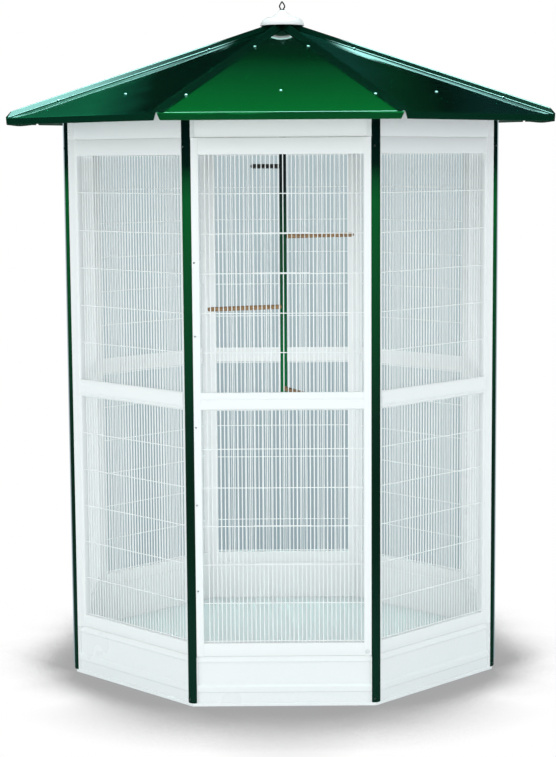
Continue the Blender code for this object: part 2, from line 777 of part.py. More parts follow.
def pole_mesh():
    """Perch pole from the hub's socket downwards, with a blind bore for each perch."""
    top = DOME_BASE - GAP - HUB_PLATE - GAP
    bm = bmesh.new()
    turned(bm, [(0, POLE_BOTTOM), (POLE_RADIUS - POST_ROUNDING, POLE_BOTTOM),
                (POLE_RADIUS, POLE_BOTTOM + POST_ROUNDING), (POLE_RADIUS, top), (0, top)], POLE_FACETS)
    bores = bmesh.new()
    deep = POLE_RADIUS - TENON_LENGTH - GAP
    for height, heading in PERCHES:
        bore = bmesh.new()
        radius = TENON_RADIUS + GAP
        turned(bore, [(0, deep), (radius, deep), (radius, 2 * POLE_RADIUS), (0, 2 * POLE_RADIUS)],
               PERCH_FACETS)
        bmesh.ops.transform(bore, matrix=perch_matrix(height, heading), verts=bore.verts)
        join(bores, bore)
    mesh = carve(finish(bm, "perch_pole"), finish(bores, "bores"), "DIFFERENCE")
    mesh.shade_smooth()
    mesh.set_sharp_from_angle(angle=math.radians(50))
    return mesh


def perch_matrix(height, heading):
    """Matrix that lays a bar drawn along +Z out from the pole at a height and a heading."""
    lay = Matrix.Rotation(math.pi / 2, 4, "Y")
    return Matrix.Translation((0, 0, height)) @ Matrix.Rotation(math.radians(heading), 4, "Z") @ lay


def perch_mesh():
    """Wooden perch along +Z, with a thinner tenon that sits in the pole."""
    shoulder = POLE_RADIUS + GAP
    bm = bmesh.new()
    turned(bm, [
        (0, POLE_RADIUS - TENON_LENGTH),
        (TENON_RADIUS, POLE_RADIUS - TENON_LENGTH),
        (TENON_RADIUS, shoulder),
        (PERCH_RADIUS, shoulder),
        (PERCH_RADIUS, PERCH_LENGTH - PERCH_TIP_ROUNDING),
        (PERCH_RADIUS - PERCH_TIP_ROUNDING, PERCH_LENGTH),
        (0, PERCH_LENGTH),
    ], PERCH_FACETS)
    return finish(bm, "perch", smooth=True)


def build_sides(green, white):
    """Posts, skirts, headers, walls, roof panels and hip caps, eight or seven of each."""
    post = post_mesh()
    skirt = skirt_mesh()
    header = header_mesh()
    wall = wall_mesh()
    panel = roof_panel_mesh()
    cap = hip_cap_mesh()
    hung_skirt = carve(skirt, pivot_hole(SKIRT_TOP), "DIFFERENCE")
    hung_header = carve(header, pivot_hole(HEADER_BOTTOM), "DIFFERENCE")
    for index, side in enumerate(SIDE_NAMES):
        turn = 2 * math.pi * index / SIDES
        corner = turn + HALF_TURN
        standing = place(f"post_{index + 1}", post, green)
        standing.location = (POST_RING * math.sin(corner), -POST_RING * math.cos(corner), 0)
        place(f"roof_panel_{side}", panel, green, turn)
        place(f"hip_cap_{index + 1}", cap, green, corner)
        if side == "front":
            place("skirt_front", hung_skirt, white)
            place("header_front", hung_header, white)
            continue
        place(f"skirt_{side}", skirt, white, turn)
        place(f"header_{side}", header, white, turn)
        place(f"wall_{side}", wall, white, turn)


def build_door(white, steel):
    """Door leaf on its pivot axis, with the feeder doors and the catch that ride on it."""
    door = place("door_leaf", door_mesh(), white, pivot=(pivot_x(), pivot_y(), SKIRT_TOP))
    for name, (low, high) in zip(("feeder_door_lower", "feeder_door_upper"), feeder_spans()):
        spot = (upright_x(FEEDER_LEFT_INDEX), -WALL_APOTHEM + FEEDER_DEPTH, low)
        place(name, feeder_mesh(low, high), white, pivot=spot, parent=door)
    spot = (catch_x(), -WALL_APOTHEM, catch_z())
    place("door_catch", catch_mesh(), steel, pivot=spot, parent=door)


def build_perches(green, wood):
    """Pole and perches."""
    place("perch_pole", pole_mesh(), green)
    perch = perch_mesh()
    for number, (height, heading) in enumerate(PERCHES):
        bar = place(f"perch_{number + 1}", perch, wood)
        bar.matrix_world = perch_matrix(height, heading)


def build():
    """Whole cage."""
    clear_scene()
    green = paint("green_enamel", (0.012, 0.100, 0.040), 0.30, 0.0)
    white = paint("white_enamel", (0.80, 0.82, 0.82), 0.35, 0.0)
    tray = paint("pale_grey_enamel", (0.60, 0.68, 0.70), 0.45, 0.0)
    wood = paint("pale_wood", (0.58, 0.28, 0.09), 0.60, 0.0)
    steel = paint("dark_steel", (0.20, 0.20, 0.21), 0.35, 1.0)
    build_sides(green, white)
    build_door(white, steel)
    place("floor_tray", tray_mesh(), tray, HALF_TURN)
    place("roof_hub", hub_mesh(), green)
    place("finial_dome", dome_mesh(), white)
    place("finial_loop", loop_mesh(), steel)
    build_perches(green, wood)


build()
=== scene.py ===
"""Eight-sided garden bird cage in white and dark green enamel, on a pale studio floor.

Metres, +Z up, the door faces -Y and the origin is on the ground under the roof's middle.
"""
import math

import bpy
import numpy as np
from mathutils import Matrix, Vector


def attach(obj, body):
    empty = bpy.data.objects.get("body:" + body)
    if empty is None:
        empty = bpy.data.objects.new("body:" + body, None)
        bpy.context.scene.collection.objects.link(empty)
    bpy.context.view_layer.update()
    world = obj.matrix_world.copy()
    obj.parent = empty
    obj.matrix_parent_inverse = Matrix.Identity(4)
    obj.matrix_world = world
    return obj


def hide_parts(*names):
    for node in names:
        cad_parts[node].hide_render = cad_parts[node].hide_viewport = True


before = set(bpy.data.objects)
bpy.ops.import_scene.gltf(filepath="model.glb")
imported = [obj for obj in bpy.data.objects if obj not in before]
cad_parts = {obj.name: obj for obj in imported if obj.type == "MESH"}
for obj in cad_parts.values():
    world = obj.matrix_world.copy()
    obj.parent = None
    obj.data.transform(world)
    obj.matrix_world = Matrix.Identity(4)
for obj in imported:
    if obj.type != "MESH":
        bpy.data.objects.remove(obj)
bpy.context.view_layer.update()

# The octagon's plan and heights, as in the model
SIDES = 8
HALF_TURN = math.pi / SIDES
MITRE = math.tan(HALF_TURN)
SIDE_NAMES = (
    "front", "front_right", "right", "back_right",
    "back", "back_left", "left", "front_left",
)
GAP = 0.0003
SHEET = 0.0015
POST_RING = 0.720
POST_RADIUS = 0.014
POST_OFFSET = POST_RING * math.sin(HALF_TURN)
WALL_APOTHEM = (POST_RING - POST_RADIUS - GAP) * math.cos(HALF_TURN)
HEM_HEIGHT = 0.0097
TRAY_TOP = 0.0200
SKIRT_TOP = 0.1505
HEADER_BOTTOM = 1.686

# The posts show as shallow arches that stand between the walls' flared edges
ARCH_RING = 0.7062
ARCH_RADIUS = 0.0175
ARCH_HALF = math.radians(54)
ARCH_EDGE = (ARCH_RING + ARCH_RADIUS * math.cos(ARCH_HALF), ARCH_RADIUS * math.sin(ARCH_HALF))
FLARE_TIP = ARCH_EDGE[0] * math.sin(HALF_TURN) - ARCH_EDGE[1] * math.cos(HALF_TURN)
FLARE_OUT = ARCH_EDGE[0] * math.cos(HALF_TURN) + ARCH_EDGE[1] * math.sin(HALF_TURN) - WALL_APOTHEM

# Wall frames: stiles, rails and the window between them
LEAF_HALF = POST_OFFSET - POST_RADIUS - 0.002
STILE_WIDTH = 0.0207
FRAME_DEPTH = 0.020
WINDOW_HALF = LEAF_HALF - STILE_WIDTH
WINDOW_LOW = 0.190
WINDOW_HIGH = 1.637
RAIL_LOW = 0.893
RAIL_HIGH = 0.944

# The door stands a little in front of the wall and turns on two pins behind its left stile
DOOR_OUT = 0.0042
DOOR_GAP = 0.0007
DOOR_WIDER = 0.0012
PIVOT_IN = 0.0095
PIVOT_DEPTH = 0.005
PIVOT_RADIUS = 0.003
PIVOT_REACH = 0.0035
PIVOT_LENGTH = 0.012
CATCH_IN = 0.011
CATCH_UP = 0.0135
RIVET_HEIGHTS = (1.325, 1.110, 0.841, 0.609, 0.350)

# Wire mesh
UPRIGHTS = 37
UPRIGHT_PITCH = 2 * WINDOW_HALF / (UPRIGHTS + 1)
DOOR_MESH_SHIFT = 0.0050
UPRIGHT_DEPTH = 0.0106
UPRIGHT_RADIUS = 0.00135
CROSS_DEPTH = 0.0083
CROSS_RADIUS = 0.00130
CROSS_PITCH = 0.1160
CROSS_LOW = [WINDOW_LOW + 0.0045 + k * CROSS_PITCH for k in range(7)]
CROSS_HIGH = [RAIL_HIGH + (k + 1) * CROSS_PITCH for k in range(5)]
WIRE_END = 0.003
FEEDER_DEPTH = 0.0060
FEEDER_WIRE = 0.0009
FEEDER_RISE = 0.0023
FEEDER_LEFT, FEEDER_RIGHT = 12, 25
FEEDER_GAPS = ((CROSS_LOW[2], CROSS_LOW[3]), (CROSS_HIGH[2], CROSS_HIGH[3]))

# Roof
EAVE_RING = 0.9057
EAVE_APOTHEM = EAVE_RING * math.cos(HALF_TURN)
EAVE_Z = 1.7533
ROOF_RISE = 0.3576
ROOF_LIP = 0.0215
ROOF_TOP_APOTHEM = 0.0125
PANEL_GAP = 0.0018
LIP_CUT = 0.009
SHEET_WAVE = 0.00045
CAP_TOP_RING = 0.0140
CAP_RIB = 0.018
CAP_HALF = 0.020
RIB_HALF = 0.013
CAP_LEAN = 0.021
CAP_LIFT = 0.0004
CAP_OVERHANG = 0.0018
BACK_LIFT = 0.012
APEX_LEAN = 0.0070
SCREW_RINGS = (0.745, 0.255)
SCREW_ACROSS = 0.0168
PANEL_SCREW_APOTHEM = 0.655

# Finial, pole and perches
DOME_BASE = 2.0505
DOME_RADIUS = 0.0704
POLE_SHIFT = 0.0052
POLE_RADIUS = 0.0113
POLE_FOOT = 0.858
PERCHES = ((1.600, 112.5), (1.374, 22.5), (1.144, 202.5), (0.875, 292.5))
PERCH_REACH = 0.257
PERCH_RADIUS = 0.0075

# The floor's painted shadow, straight ahead of the cage and to its sides, and the painted shade behind the
# mesh
FLOOR_BOUNCE = (0.84, 0.86, 0.87)
SHADOW_REACH = 0.45
SHADOW_FULL = (0.67, 0.745)
SHADOW_CLEAR = (1.023, 0.785)
SHADOW_CURVE = (3.3, 1.6)
SHADOW_SPREAD = 1.6
SHADOW_BEHIND = 0.036
SHADOW_END = (1.04, 1.45)
SHADOW_TONE = (0.38, 0.38, 0.385)
# Painted shade behind the far wires: the ring's glow, low and high
RING_PAINTED_SHADE_LOW = (0.30, 0.385, 0.418)
RING_PAINTED_SHADE_HIGH = (0.41, 0.505, 0.535)

# The surroundings' strength for bounced rays, and for mirror rays with its two bright patches
SURROUND = 0.88
SURROUND_TINT = (0.925, 1.0, 1.01)
GLOSS_SURROUND = 0.004
GLOSS_TINT = (0.45, 1.0, 0.93)
FLANK_GLOW = 5.4
OVERHEAD_GLOW = 20.0

# The photo's view
VIEW_DISTANCE = 5.9803
VIEW_HEIGHT = 1.6195
VIEW_PITCH = 0.1224
VIEW_ROLL = -0.0068
VIEW_YAW = -0.0004
VIEW_LENS = 87.0840
VIEW_SHIFT = (-0.0059, 0.0092)


def facing_out(points, faces):
    """The closed shape with every face turned outwards, by the sign of the volume it encloses.

    Each face is cut into triangles from its first corner; the volume is a sixth of the sum of the
    triangles' triple products.
    """
    corners = np.array([(face[0], face[i], face[i + 1]) for face in faces for i in range(1, len(face) - 1)])
    first, second, third = (points[corners[:, k]] for k in range(3))
    if (first * np.cross(second, third)).sum() < 0:
        faces = [face[::-1] for face in faces]
    return points, faces


def skinned(rings):
    """Closed surface through rings of equally many points: ring i joins ring i + 1 point by point.

    Each ring closes on itself, and one face closes the first ring and one the last.
    """
    rings = np.asarray(rings, dtype=float)
    count, size = rings.shape[:2]
    start = np.arange(count - 1)[:, None] * size
    here = np.arange(size)[None, :]
    there = (here + 1) % size
    quads = np.stack([start + here, start + there, start + size + there, start + size + here], axis=2)
    faces = [tuple(quad) for quad in quads.reshape(-1, 4).tolist()]
    faces.append(tuple(range(size))[::-1])
    faces.append(tuple(range((count - 1) * size, count * size)))
    return facing_out(rings.reshape(-1, 3), faces)


def lathed(profile, facets=48, centre=(0, 0, 0)):
    """Solid of revolution about Z: each (radius, height) of the profile is a circle of that radius."""
    angles = np.arange(facets) * 2 * math.pi / facets
    radius, height = np.array(profile, dtype=float).T
    radius = np.maximum(radius, 1e-5)
    rings = np.stack([
        np.outer(radius, np.cos(angles)), np.outer(radius, np.sin(angles)), np.outer(height, np.ones(facets)),
    ], axis=2)
    return skinned(rings + np.asarray(centre))


def tube(path, radius, facets=8):
    """Round bar: at each point of the path a circle stands square to the path's direction there.

    The circles' first spoke is carried along the path with as little twist as possible.
    """
    path = np.asarray(path, dtype=float)
    radius = np.broadcast_to(radius, (len(path),))
    along = np.gradient(path, axis=0)
    along /= np.linalg.norm(along, axis=1)[:, None]
    spoke = np.cross(along[0], (0.0, 0.0, 1.0))
    if np.linalg.norm(spoke) < 0.1:
        spoke = np.cross(along[0], (0.0, 1.0, 0.0))
    angles = np.arange(facets) * 2 * math.pi / facets
    rings = []
    for point, direction, size in zip(path, along, radius):
        spoke = spoke - direction * np.dot(spoke, direction)
        spoke /= np.linalg.norm(spoke)
        other = np.cross(direction, spoke)
        rings.append(point + size * (np.outer(np.cos(angles), spoke) + np.outer(np.sin(angles), other)))
    return skinned(rings)


def rounded(corners, radius, steps=4, closed=True):
    """Outline with each corner replaced by an arc of the radius that touches both its sides.

    A radius may be one number or one per corner; 0 keeps the corner sharp.
    """
    corners = [np.asarray(corner, dtype=float) for corner in corners]
    count = len(corners)
    radii = np.broadcast_to(radius, (count,))
    out = []
    for i, corner in enumerate(corners):
        if radii[i] == 0 or (not closed and i in (0, count - 1)):
            out.append(corner)
            continue
        back = corners[i - 1] - corner
        ahead = corners[(i + 1) % count] - corner
        back_length, ahead_length = np.linalg.norm(back), np.linalg.norm(ahead)
        back, ahead = back / back_length, ahead / ahead_length
        half = math.acos(np.clip(np.dot(back, ahead), -1, 1)) / 2
        if half > math.pi / 2 - 0.02:
            out.append(corner)
            continue
        reach = min(radii[i] / math.tan(half), back_length * 0.49, ahead_length * 0.49)
        size = reach * math.tan(half)
        middle = corner + (back + ahead) / np.linalg.norm(back + ahead) * (size / math.sin(half))
        first = corner + back * reach - middle
        last = corner + ahead * reach - middle
        sweep = math.atan2(first[0] * last[1] - first[1] * last[0], np.dot(first, last))
        for step in range(steps + 1):
            angle = sweep * step / steps
            turn = np.array([[math.cos(angle), -math.sin(angle)], [math.sin(angle), math.cos(angle)]])
            out.append(middle + turn @ first)
    return np.array(out)


def bent_sheet(line, thickness, radius, steps=4):
    """Closed outline of a folded sheet: the rounded line, and the same line moved to its left."""
    middle = rounded(line, radius, steps, closed=False)
    runs = np.diff(middle, axis=0)
    runs /= np.linalg.norm(runs, axis=1)[:, None]
    lefts = np.stack([-runs[:, 1], runs[:, 0]], axis=1)
    normals = np.vstack([lefts[:1], lefts[:-1] + lefts[1:], lefts[-1:]])
    normals /= np.linalg.norm(normals, axis=1)[:, None]
    first = np.vstack([lefts[:1], lefts])
    stretch = np.maximum((normals * first).sum(axis=1), 0.4)
    moved = middle + normals * (thickness / stretch)[:, None]
    return np.vstack([middle, moved[::-1]])


def braced(outline, margin=0.0004):
    """The outline with two more points close to the ends of each long side, so that it shades flat."""
    out = []
    for here, there in zip(outline, np.roll(outline, -1, axis=0)):
        out.append(here)
        length = np.linalg.norm(there - here)
        if length > 0.002:
            step = (there - here) * margin / length
            out += [here + step, there - step]
    return np.array(out)


def along_wall(outline, reach, cuts=2):
    """Bar along the door side's wall: the (out, height) outline repeated across its length.

    reach is the half length, or a function of out that gives it, so that the ends can be mitred.
    """
    out, height = np.asarray(outline, dtype=float).T
    half = reach(out) if callable(reach) else np.full(len(out), reach)
    return skinned([np.stack([share * half, -WALL_APOTHEM - out, height], axis=1)
                    for share in np.linspace(-1, 1, cuts)])


def carried_up(plan, low, high):
    """Upright bar of the door side's wall: its (x, depth) plan repeated at two heights."""
    x, depth = np.asarray(plan, dtype=float).T
    return skinned([np.stack([x, depth - WALL_APOTHEM, np.full(len(x), z)], axis=1) for z in (low, high)])


def upright_bar(x0, x1, depth0, depth1, low, high, radius=0.0016):
    """Upright bar of the wall frame: a rectangle with rounded corners, repeated at both ends."""
    return carried_up(rounded([(x0, depth0), (x1, depth0), (x1, depth1), (x0, depth1)], radius, 3), low, high)


def level_bar(half, depth0, depth1, z0, z1, radius=0.0016):
    """Level bar of the wall frame: a rectangle with rounded corners along the wall."""
    outline = rounded([(-depth0, z0), (-depth0, z1), (-depth1, z1), (-depth1, z0)], radius, 3)
    return along_wall(outline, half)


def mitred(out):
    """Half length of a piece that meets its neighbour on the corner plane."""
    return (WALL_APOTHEM + out) * MITRE - GAP


def roof_top(apothem):
    """Height of a roof panel's upper face at a distance from the middle."""
    return EAVE_Z + (EAVE_APOTHEM - apothem) * ROOF_RISE


def corner_axes(number):
    """Plan directions at a corner: outwards through it, and square to that."""
    angle = (number + 0.5) * 2 * HALF_TURN
    return np.array([math.sin(angle), -math.cos(angle)]), np.array([math.cos(angle), math.sin(angle)])


def turned_to(shape, index):
    """The shape turned about Z from the door side to another side, in eighths of a turn."""
    angle = 2 * math.pi * index / SIDES
    cosine, sine = math.cos(angle), math.sin(angle)
    turn = np.array([[cosine, -sine, 0], [sine, cosine, 0], [0, 0, 1]])
    points, faces = shape
    return points @ turn.T, faces


def lifted(shape):
    """The roof's back half raised a little: the rise grows with the distance back and outwards."""
    points, faces = shape
    points = points.copy()
    back = np.clip((points[:, 1] + 0.15) / 0.50, 0, 1)
    outward = np.clip(np.hypot(points[:, 0], points[:, 1]) / EAVE_RING, 0, 1)
    points[:, 2] += BACK_LIFT * back * back * (3 - 2 * back) * outward
    return points, faces


def leaning(shape):
    """The roof's top moved a little to the right: the shift grows evenly from the eave to the apex."""
    points, faces = shape
    points = points.copy()
    points[:, 0] += APEX_LEAN * np.clip((points[:, 2] - EAVE_Z) / 0.30, 0, 1)
    return points, faces


def piece(name, shapes, material, nodes=(), body="cage", sharp=35):
    """One object from closed shapes, all in the model's frame, riding on a body of the model."""
    points = np.vstack([shape[0] for shape in shapes])
    faces = []
    start = 0
    for shape_points, shape_faces in shapes:
        faces.extend(tuple(v + start for v in face) for face in shape_faces)
        start += len(shape_points)
    mesh = bpy.data.meshes.new(name)
    mesh.from_pydata(points.tolist(), [], faces)
    mesh.materials.append(material)
    mesh.shade_smooth()
    mesh.set_sharp_from_angle(angle=math.radians(sharp))
    item = bpy.data.objects.new(name, mesh)
    bpy.context.scene.collection.objects.link(item)
    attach(item, body)
    if nodes:
        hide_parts(*nodes)
    return item


class Nodes:
    """Small helper that adds and links shader nodes."""

    def __init__(self, tree):
        self.tree = tree

    def feed(self, socket, value):
        """Link another node's output to a socket, or set the socket to a plain value."""
        if isinstance(value, bpy.types.NodeSocket):
            self.tree.links.new(value, socket)
        else:
            socket.default_value = value

    def add(self, kind, **inputs):
        """A node of a kind; inputs go by name, or by number as i0, i1 and so on."""
        node = self.tree.nodes.new(kind)
        for name, value in inputs.items():
            numbered = name[0] == "i" and name[1:].isdigit()
            self.feed(node.inputs[int(name[1:]) if numbered else name], value)
        return node

    def maths(self, operation, first, second=0.0, clamp=False):
        """Output of a sum, product or the like."""
        node = self.add("ShaderNodeMath", i0=first, i1=second)
        node.operation = operation
        node.use_clamp = clamp
        return node.outputs[0]

    def ramp(self, value, low, high, start=0.0, stop=1.0, smooth=True):
        """Value taken from low..high to start..stop, held flat outside."""
        node = self.add("ShaderNodeMapRange", Value=value)
        node.interpolation_type = "SMOOTHSTEP" if smooth else "LINEAR"
        for name, number in (("From Min", low), ("From Max", high), ("To Min", start), ("To Max", stop)):
            node.inputs[name].default_value = number
        return node.outputs[0]

    def noise(self, coordinates, scale, detail=3.0, stretch=None):
        """Noise value at object coordinates, stretched by factors along X, Y and Z."""
        if stretch is not None:
            coordinates = self.add("ShaderNodeMapping", Vector=coordinates, Scale=stretch).outputs[0]
        node = self.add("ShaderNodeTexNoise", Vector=coordinates, Scale=scale, Detail=detail)
        return node.outputs[0]

    def blend(self, share, first, second):
        """Mix of two colours."""
        node = self.tree.nodes.new("ShaderNodeMix")
        node.data_type = "RGBA"
        for number, value in ((0, share), (6, first), (7, second)):
            self.feed(node.inputs[number], value)
        return node.outputs[2]

    def either(self, share, first, second):
        """Mix of two shaders."""
        return self.add("ShaderNodeMixShader", i0=share, i1=first, i2=second).outputs[0]


def new_material(name):
    """Material with its helper, its shader node and the object coordinates."""
    material = bpy.data.materials.new(name)
    material.use_nodes = True
    nodes = Nodes(material.node_tree)
    shader = material.node_tree.nodes["Principled BSDF"]
    place = nodes.add("ShaderNodeTexCoord").outputs["Object"]
    return material, nodes, shader, place


def wire_up(nodes, shader, colour=None, roughness=None, height=None, distance=0.0004, strength=0.3):
    """Link the colour, the roughness and the bump of a material's shader."""
    if colour is not None:
        nodes.tree.links.new(colour, shader.inputs["Base Color"])
    if roughness is not None:
        nodes.tree.links.new(roughness, shader.inputs["Roughness"])
    if height is not None:
        bump = nodes.add("ShaderNodeBump", Height=height, Strength=strength, Distance=distance)
        nodes.tree.links.new(bump.outputs[0], shader.inputs["Normal"])


def white_enamel(name, clean, darker_tone, roughness=0.32):
    """White enamel: faint cloudy tone, darker towards the ground and slight orange peel."""
    material, nodes, shader, place = new_material(name)
    cloud = nodes.noise(place, 2.2, 4.0)
    speck = nodes.noise(place, 90.0, 2.0)
    height = nodes.add("ShaderNodeSeparateXYZ", Vector=place).outputs[2]
    # Darker towards the ground, below 0.22 m
    low = nodes.ramp(height, 0.0, 0.22, 0.55, 0.0)
    share = nodes.maths("ADD", nodes.ramp(cloud, 0.15, 0.95, 0.0, 0.5), low)
    share = nodes.maths("MULTIPLY", share, nodes.ramp(speck, 0.2, 0.8, 0.6, 1.0), clamp=True)
    colour = nodes.blend(share, (*clean, 1), (*darker_tone, 1))
    rough = nodes.ramp(cloud, 0.3, 0.7, roughness - 0.05, roughness + 0.07)
    wire_up(nodes, shader, colour, rough, nodes.noise(place, 420.0, 2.0), 0.00015, 0.25)
    shader.inputs["Coat Weight"].default_value = 0.15
    shader.inputs["Coat Roughness"].default_value = 0.12
    return material


def tone_stops(nodes, value, stops):
    """Colour that runs through (value, colour) stops in even steps."""
    colour = (*stops[0][1], 1)
    for (low, _), (high, tone) in zip(stops, stops[1:]):
        colour = nodes.blend(nodes.ramp(value, low, high, smooth=False), colour, (*tone, 1))
    return colour


def green_enamel(name, stops, axis=2, gloss=0.06, coat=1.9, fade=0.006):
    """Green enamel with light and shade painted in by stops along one axis, under a glossy tinted coat.

    A slow cloud moves the stops by up to fade. Where the tone runs across a roof face, its lip
    below the eave's fold is dark.
    """
    material, nodes, shader, place = new_material(name)
    split = nodes.add("ShaderNodeSeparateXYZ", Vector=place)
    cloud = nodes.noise(place, 5.0, 3.0)
    along = nodes.maths("ADD", split.outputs[axis], nodes.ramp(cloud, 0.3, 0.7, -fade, fade))
    colour = tone_stops(nodes, along, stops)
    # Painted shade: on a roof face the lip below the eave's fold is dark
    if axis == 0:
        lip = nodes.ramp(split.outputs[2], 1.7495, 1.7530)
        colour = nodes.blend(lip, (0.0026, 0.026, 0.014, 1), colour)
    peel = nodes.noise(place, 45.0, 2.0)
    wire_up(nodes, shader, colour, nodes.ramp(cloud, 0.3, 0.7, 0.34, 0.44), peel, 0.00003, 0.01)
    shader.inputs["Coat Weight"].default_value = 1.0
    shader.inputs["Coat IOR"].default_value = coat
    shader.inputs["Coat Tint"].default_value = (0.72, 1.0, 0.93, 1)
    shader.inputs["Coat Roughness"].default_value = gloss
    shader.inputs["Specular IOR Level"].default_value = 0.0
    return material


def dull_at_top(material):
    """The coat ends where the caps run in under the dome."""
    tree = material.node_tree
    nodes = Nodes(tree)
    place = nodes.add("ShaderNodeTexCoord").outputs["Object"]
    height = nodes.add("ShaderNodeSeparateXYZ", Vector=place).outputs[2]
    coat = nodes.ramp(height, 1.975, 2.005, 1.0, 0.0)
    tree.links.new(coat, tree.nodes["Principled BSDF"].inputs["Coat Weight"])


def steel(name, colour, roughness):
    """Bare steel with fine brushed lines and slight stains."""
    material, nodes, shader, place = new_material(name)
    lines = nodes.noise(place, 900.0, 2.0, (0.15, 1.0, 1.0))
    stain = nodes.noise(place, 60.0, 3.0)
    dim = [0.7 * v for v in colour]
    shade = nodes.blend(nodes.ramp(stain, 0.35, 0.7), (*colour, 1), (*dim, 1))
    rough = nodes.ramp(lines, 0.3, 0.7, roughness - 0.06, roughness + 0.08)
    wire_up(nodes, shader, shade, rough, lines, 0.00005, 0.2)
    shader.inputs["Metallic"].default_value = 1.0
    return material


def wood(name):
    """Pale wood: long grain lines along the bar, darker pores, a soft bump, painted shade under the roof."""
    material, nodes, shader, place = new_material(name)
    grain = nodes.noise(place, 60.0, 4.0, (1.0, 1.0, 6.0))
    pores = nodes.noise(place, 260.0, 3.0, (1.0, 1.0, 3.0))
    colour = nodes.blend(nodes.ramp(grain, 0.35, 0.68), (0.30, 0.185, 0.090, 1), (0.18, 0.100, 0.045, 1))
    colour = nodes.blend(nodes.ramp(pores, 0.58, 0.72, 0.0, 0.5), colour, (0.08, 0.040, 0.018, 1))
    height = nodes.add("ShaderNodeSeparateXYZ", Vector=place)
    # Painted shade: nearly black above 1.42 m, under the roof
    colour = nodes.blend(nodes.ramp(height.outputs[2], 1.42, 1.56), colour, (0.016, 0.014, 0.012, 1))
    wire_up(nodes, shader, colour, nodes.ramp(grain, 0.3, 0.7, 0.5, 0.7), pores, 0.0004, 0.5)
    return material


WHITE = white_enamel("white_enamel", (0.87, 0.877, 0.877), (0.82, 0.838, 0.840))
# Lighter copy of the white for the headers: painted light that lifts the shade under the eave
HEADER_PAINTED_LIGHT_WHITE = white_enamel("header_white_painted_light", (0.95, 0.957, 0.957), (0.90, 0.917, 0.919))
WIRE = white_enamel("white_wire", (0.95, 0.96, 0.96), (0.90, 0.92, 0.92), 0.28)
TRAY = white_enamel("pale_grey_enamel", (0.78, 0.84, 0.85), (0.72, 0.79, 0.80), 0.45)
CATCH = white_enamel("painted_catch", (0.74, 0.76, 0.76), (0.66, 0.69, 0.69))
STEEL = steel("dark_steel", (0.22, 0.22, 0.23), 0.25)
SCREW = steel("screw_zinc", (0.75, 0.77, 0.78), 0.30)
WOOD = wood("perch_wood")

# Tones of the green enamel from the ground up, as the photo shows them, with light and shade painted in
# Posts: painted shade, dark low down and nearly black under the eave, with a painted lighter band from 1.2 to
# 1.56 m
POST_PAINTED_SHADING = [
    (0.24, (0.0042, 0.0250, 0.0160)), (0.46, (0.0018, 0.0165, 0.0090)), (0.69, (0.0014, 0.0160, 0.0085)),
    (0.86, (0.0026, 0.0215, 0.0115)), (1.20, (0.0034, 0.0540, 0.0170)), (1.50, (0.0040, 0.0900, 0.0220)),
    (1.56, (0.0036, 0.0600, 0.0190)), (1.61, (0.0016, 0.0120, 0.0085)), (1.68, (0.0010, 0.0085, 0.0075)),
]
# Pole: painted shade, darker upwards and nearly black under the roof
POLE_PAINTED_SHADE = [
    (0.95, (0.003, 0.105, 0.030)), (1.25, (0.002, 0.050, 0.018)),
    (1.46, (0.0015, 0.024, 0.012)), (1.54, (0.001, 0.007, 0.006)),
]
# Hub: one very dark green, painted shade under the dome
HUB_PAINTED_SHADE = [(1.90, (0.0010, 0.010, 0.007)), (2.10, (0.0010, 0.010, 0.007))]
# Caps: painted shade, darker towards the top
CAP_PAINTED_SHADING = [(1.76, (0.0030, 0.030, 0.0160)), (2.03, (0.0015, 0.018, 0.0100))]
# Other roof faces: painted shade, darker from the eave towards the top
REST_PAINTED_SHADING = [(1.7530, (0.0035, 0.060, 0.024)), (2.010, (0.0020, 0.020, 0.011))]
# Front roof face: painted light and shade, a dark lip, bright just above the fold, darker towards the top
FRONT_PAINTED_SHADING = [
    (1.7500, (0.0030, 0.066, 0.018)), (1.7530, (0.0034, 0.150, 0.030)), (1.772, (0.0034, 0.142, 0.029)),
    (1.804, (0.0034, 0.1205, 0.026)), (1.848, (0.0030, 0.0935, 0.0228)), (1.891, (0.0028, 0.065, 0.0190)),
    (1.935, (0.0012, 0.0275, 0.0092)), (1.978, (0.0020, 0.0195, 0.0095)), (2.030, (0.0014, 0.016, 0.0095)),
]
# The two faces beside the front one change from left to right instead, with painted reflection where they are
# paler and painted shade where they are dark
LEFT_PAINTED_SHADING = [
    (-0.56, (0.0110, 0.140, 0.0700)), (-0.44, (0.0058, 0.058, 0.0350)),
    (-0.37, (0.0022, 0.0175, 0.0095)), (-0.25, (0.0008, 0.0135, 0.0075)),
]
RIGHT_PAINTED_SHADING = [
    (0.22, (0.0072, 0.049, 0.0370)), (0.34, (0.0024, 0.0330, 0.0130)),
    (0.48, (0.0010, 0.0118, 0.0068)), (0.62, (0.0052, 0.0250, 0.0220)),
]
POST_GREEN = green_enamel("post_green", POST_PAINTED_SHADING, gloss=0.10, coat=1.45)
POLE_GREEN = green_enamel("pole_green", POLE_PAINTED_SHADE, gloss=0.20, coat=1.4)
HUB_GREEN = green_enamel("hub_green", HUB_PAINTED_SHADE, gloss=0.15, coat=1.4)
ROOF_GREENS = {
    "front": green_enamel("roof_green_front", FRONT_PAINTED_SHADING, fade=0.004),
    "front_left": green_enamel("roof_green_front_left", LEFT_PAINTED_SHADING, axis=0, fade=0.02),
    "front_right": green_enamel("roof_green_front_right", RIGHT_PAINTED_SHADING, axis=0, fade=0.02),
}
ROOF_GREEN_REST = green_enamel("roof_green_rest", REST_PAINTED_SHADING)
CAP_GREEN = green_enamel("cap_green", CAP_PAINTED_SHADING, gloss=0.10)
dull_at_top(CAP_GREEN)


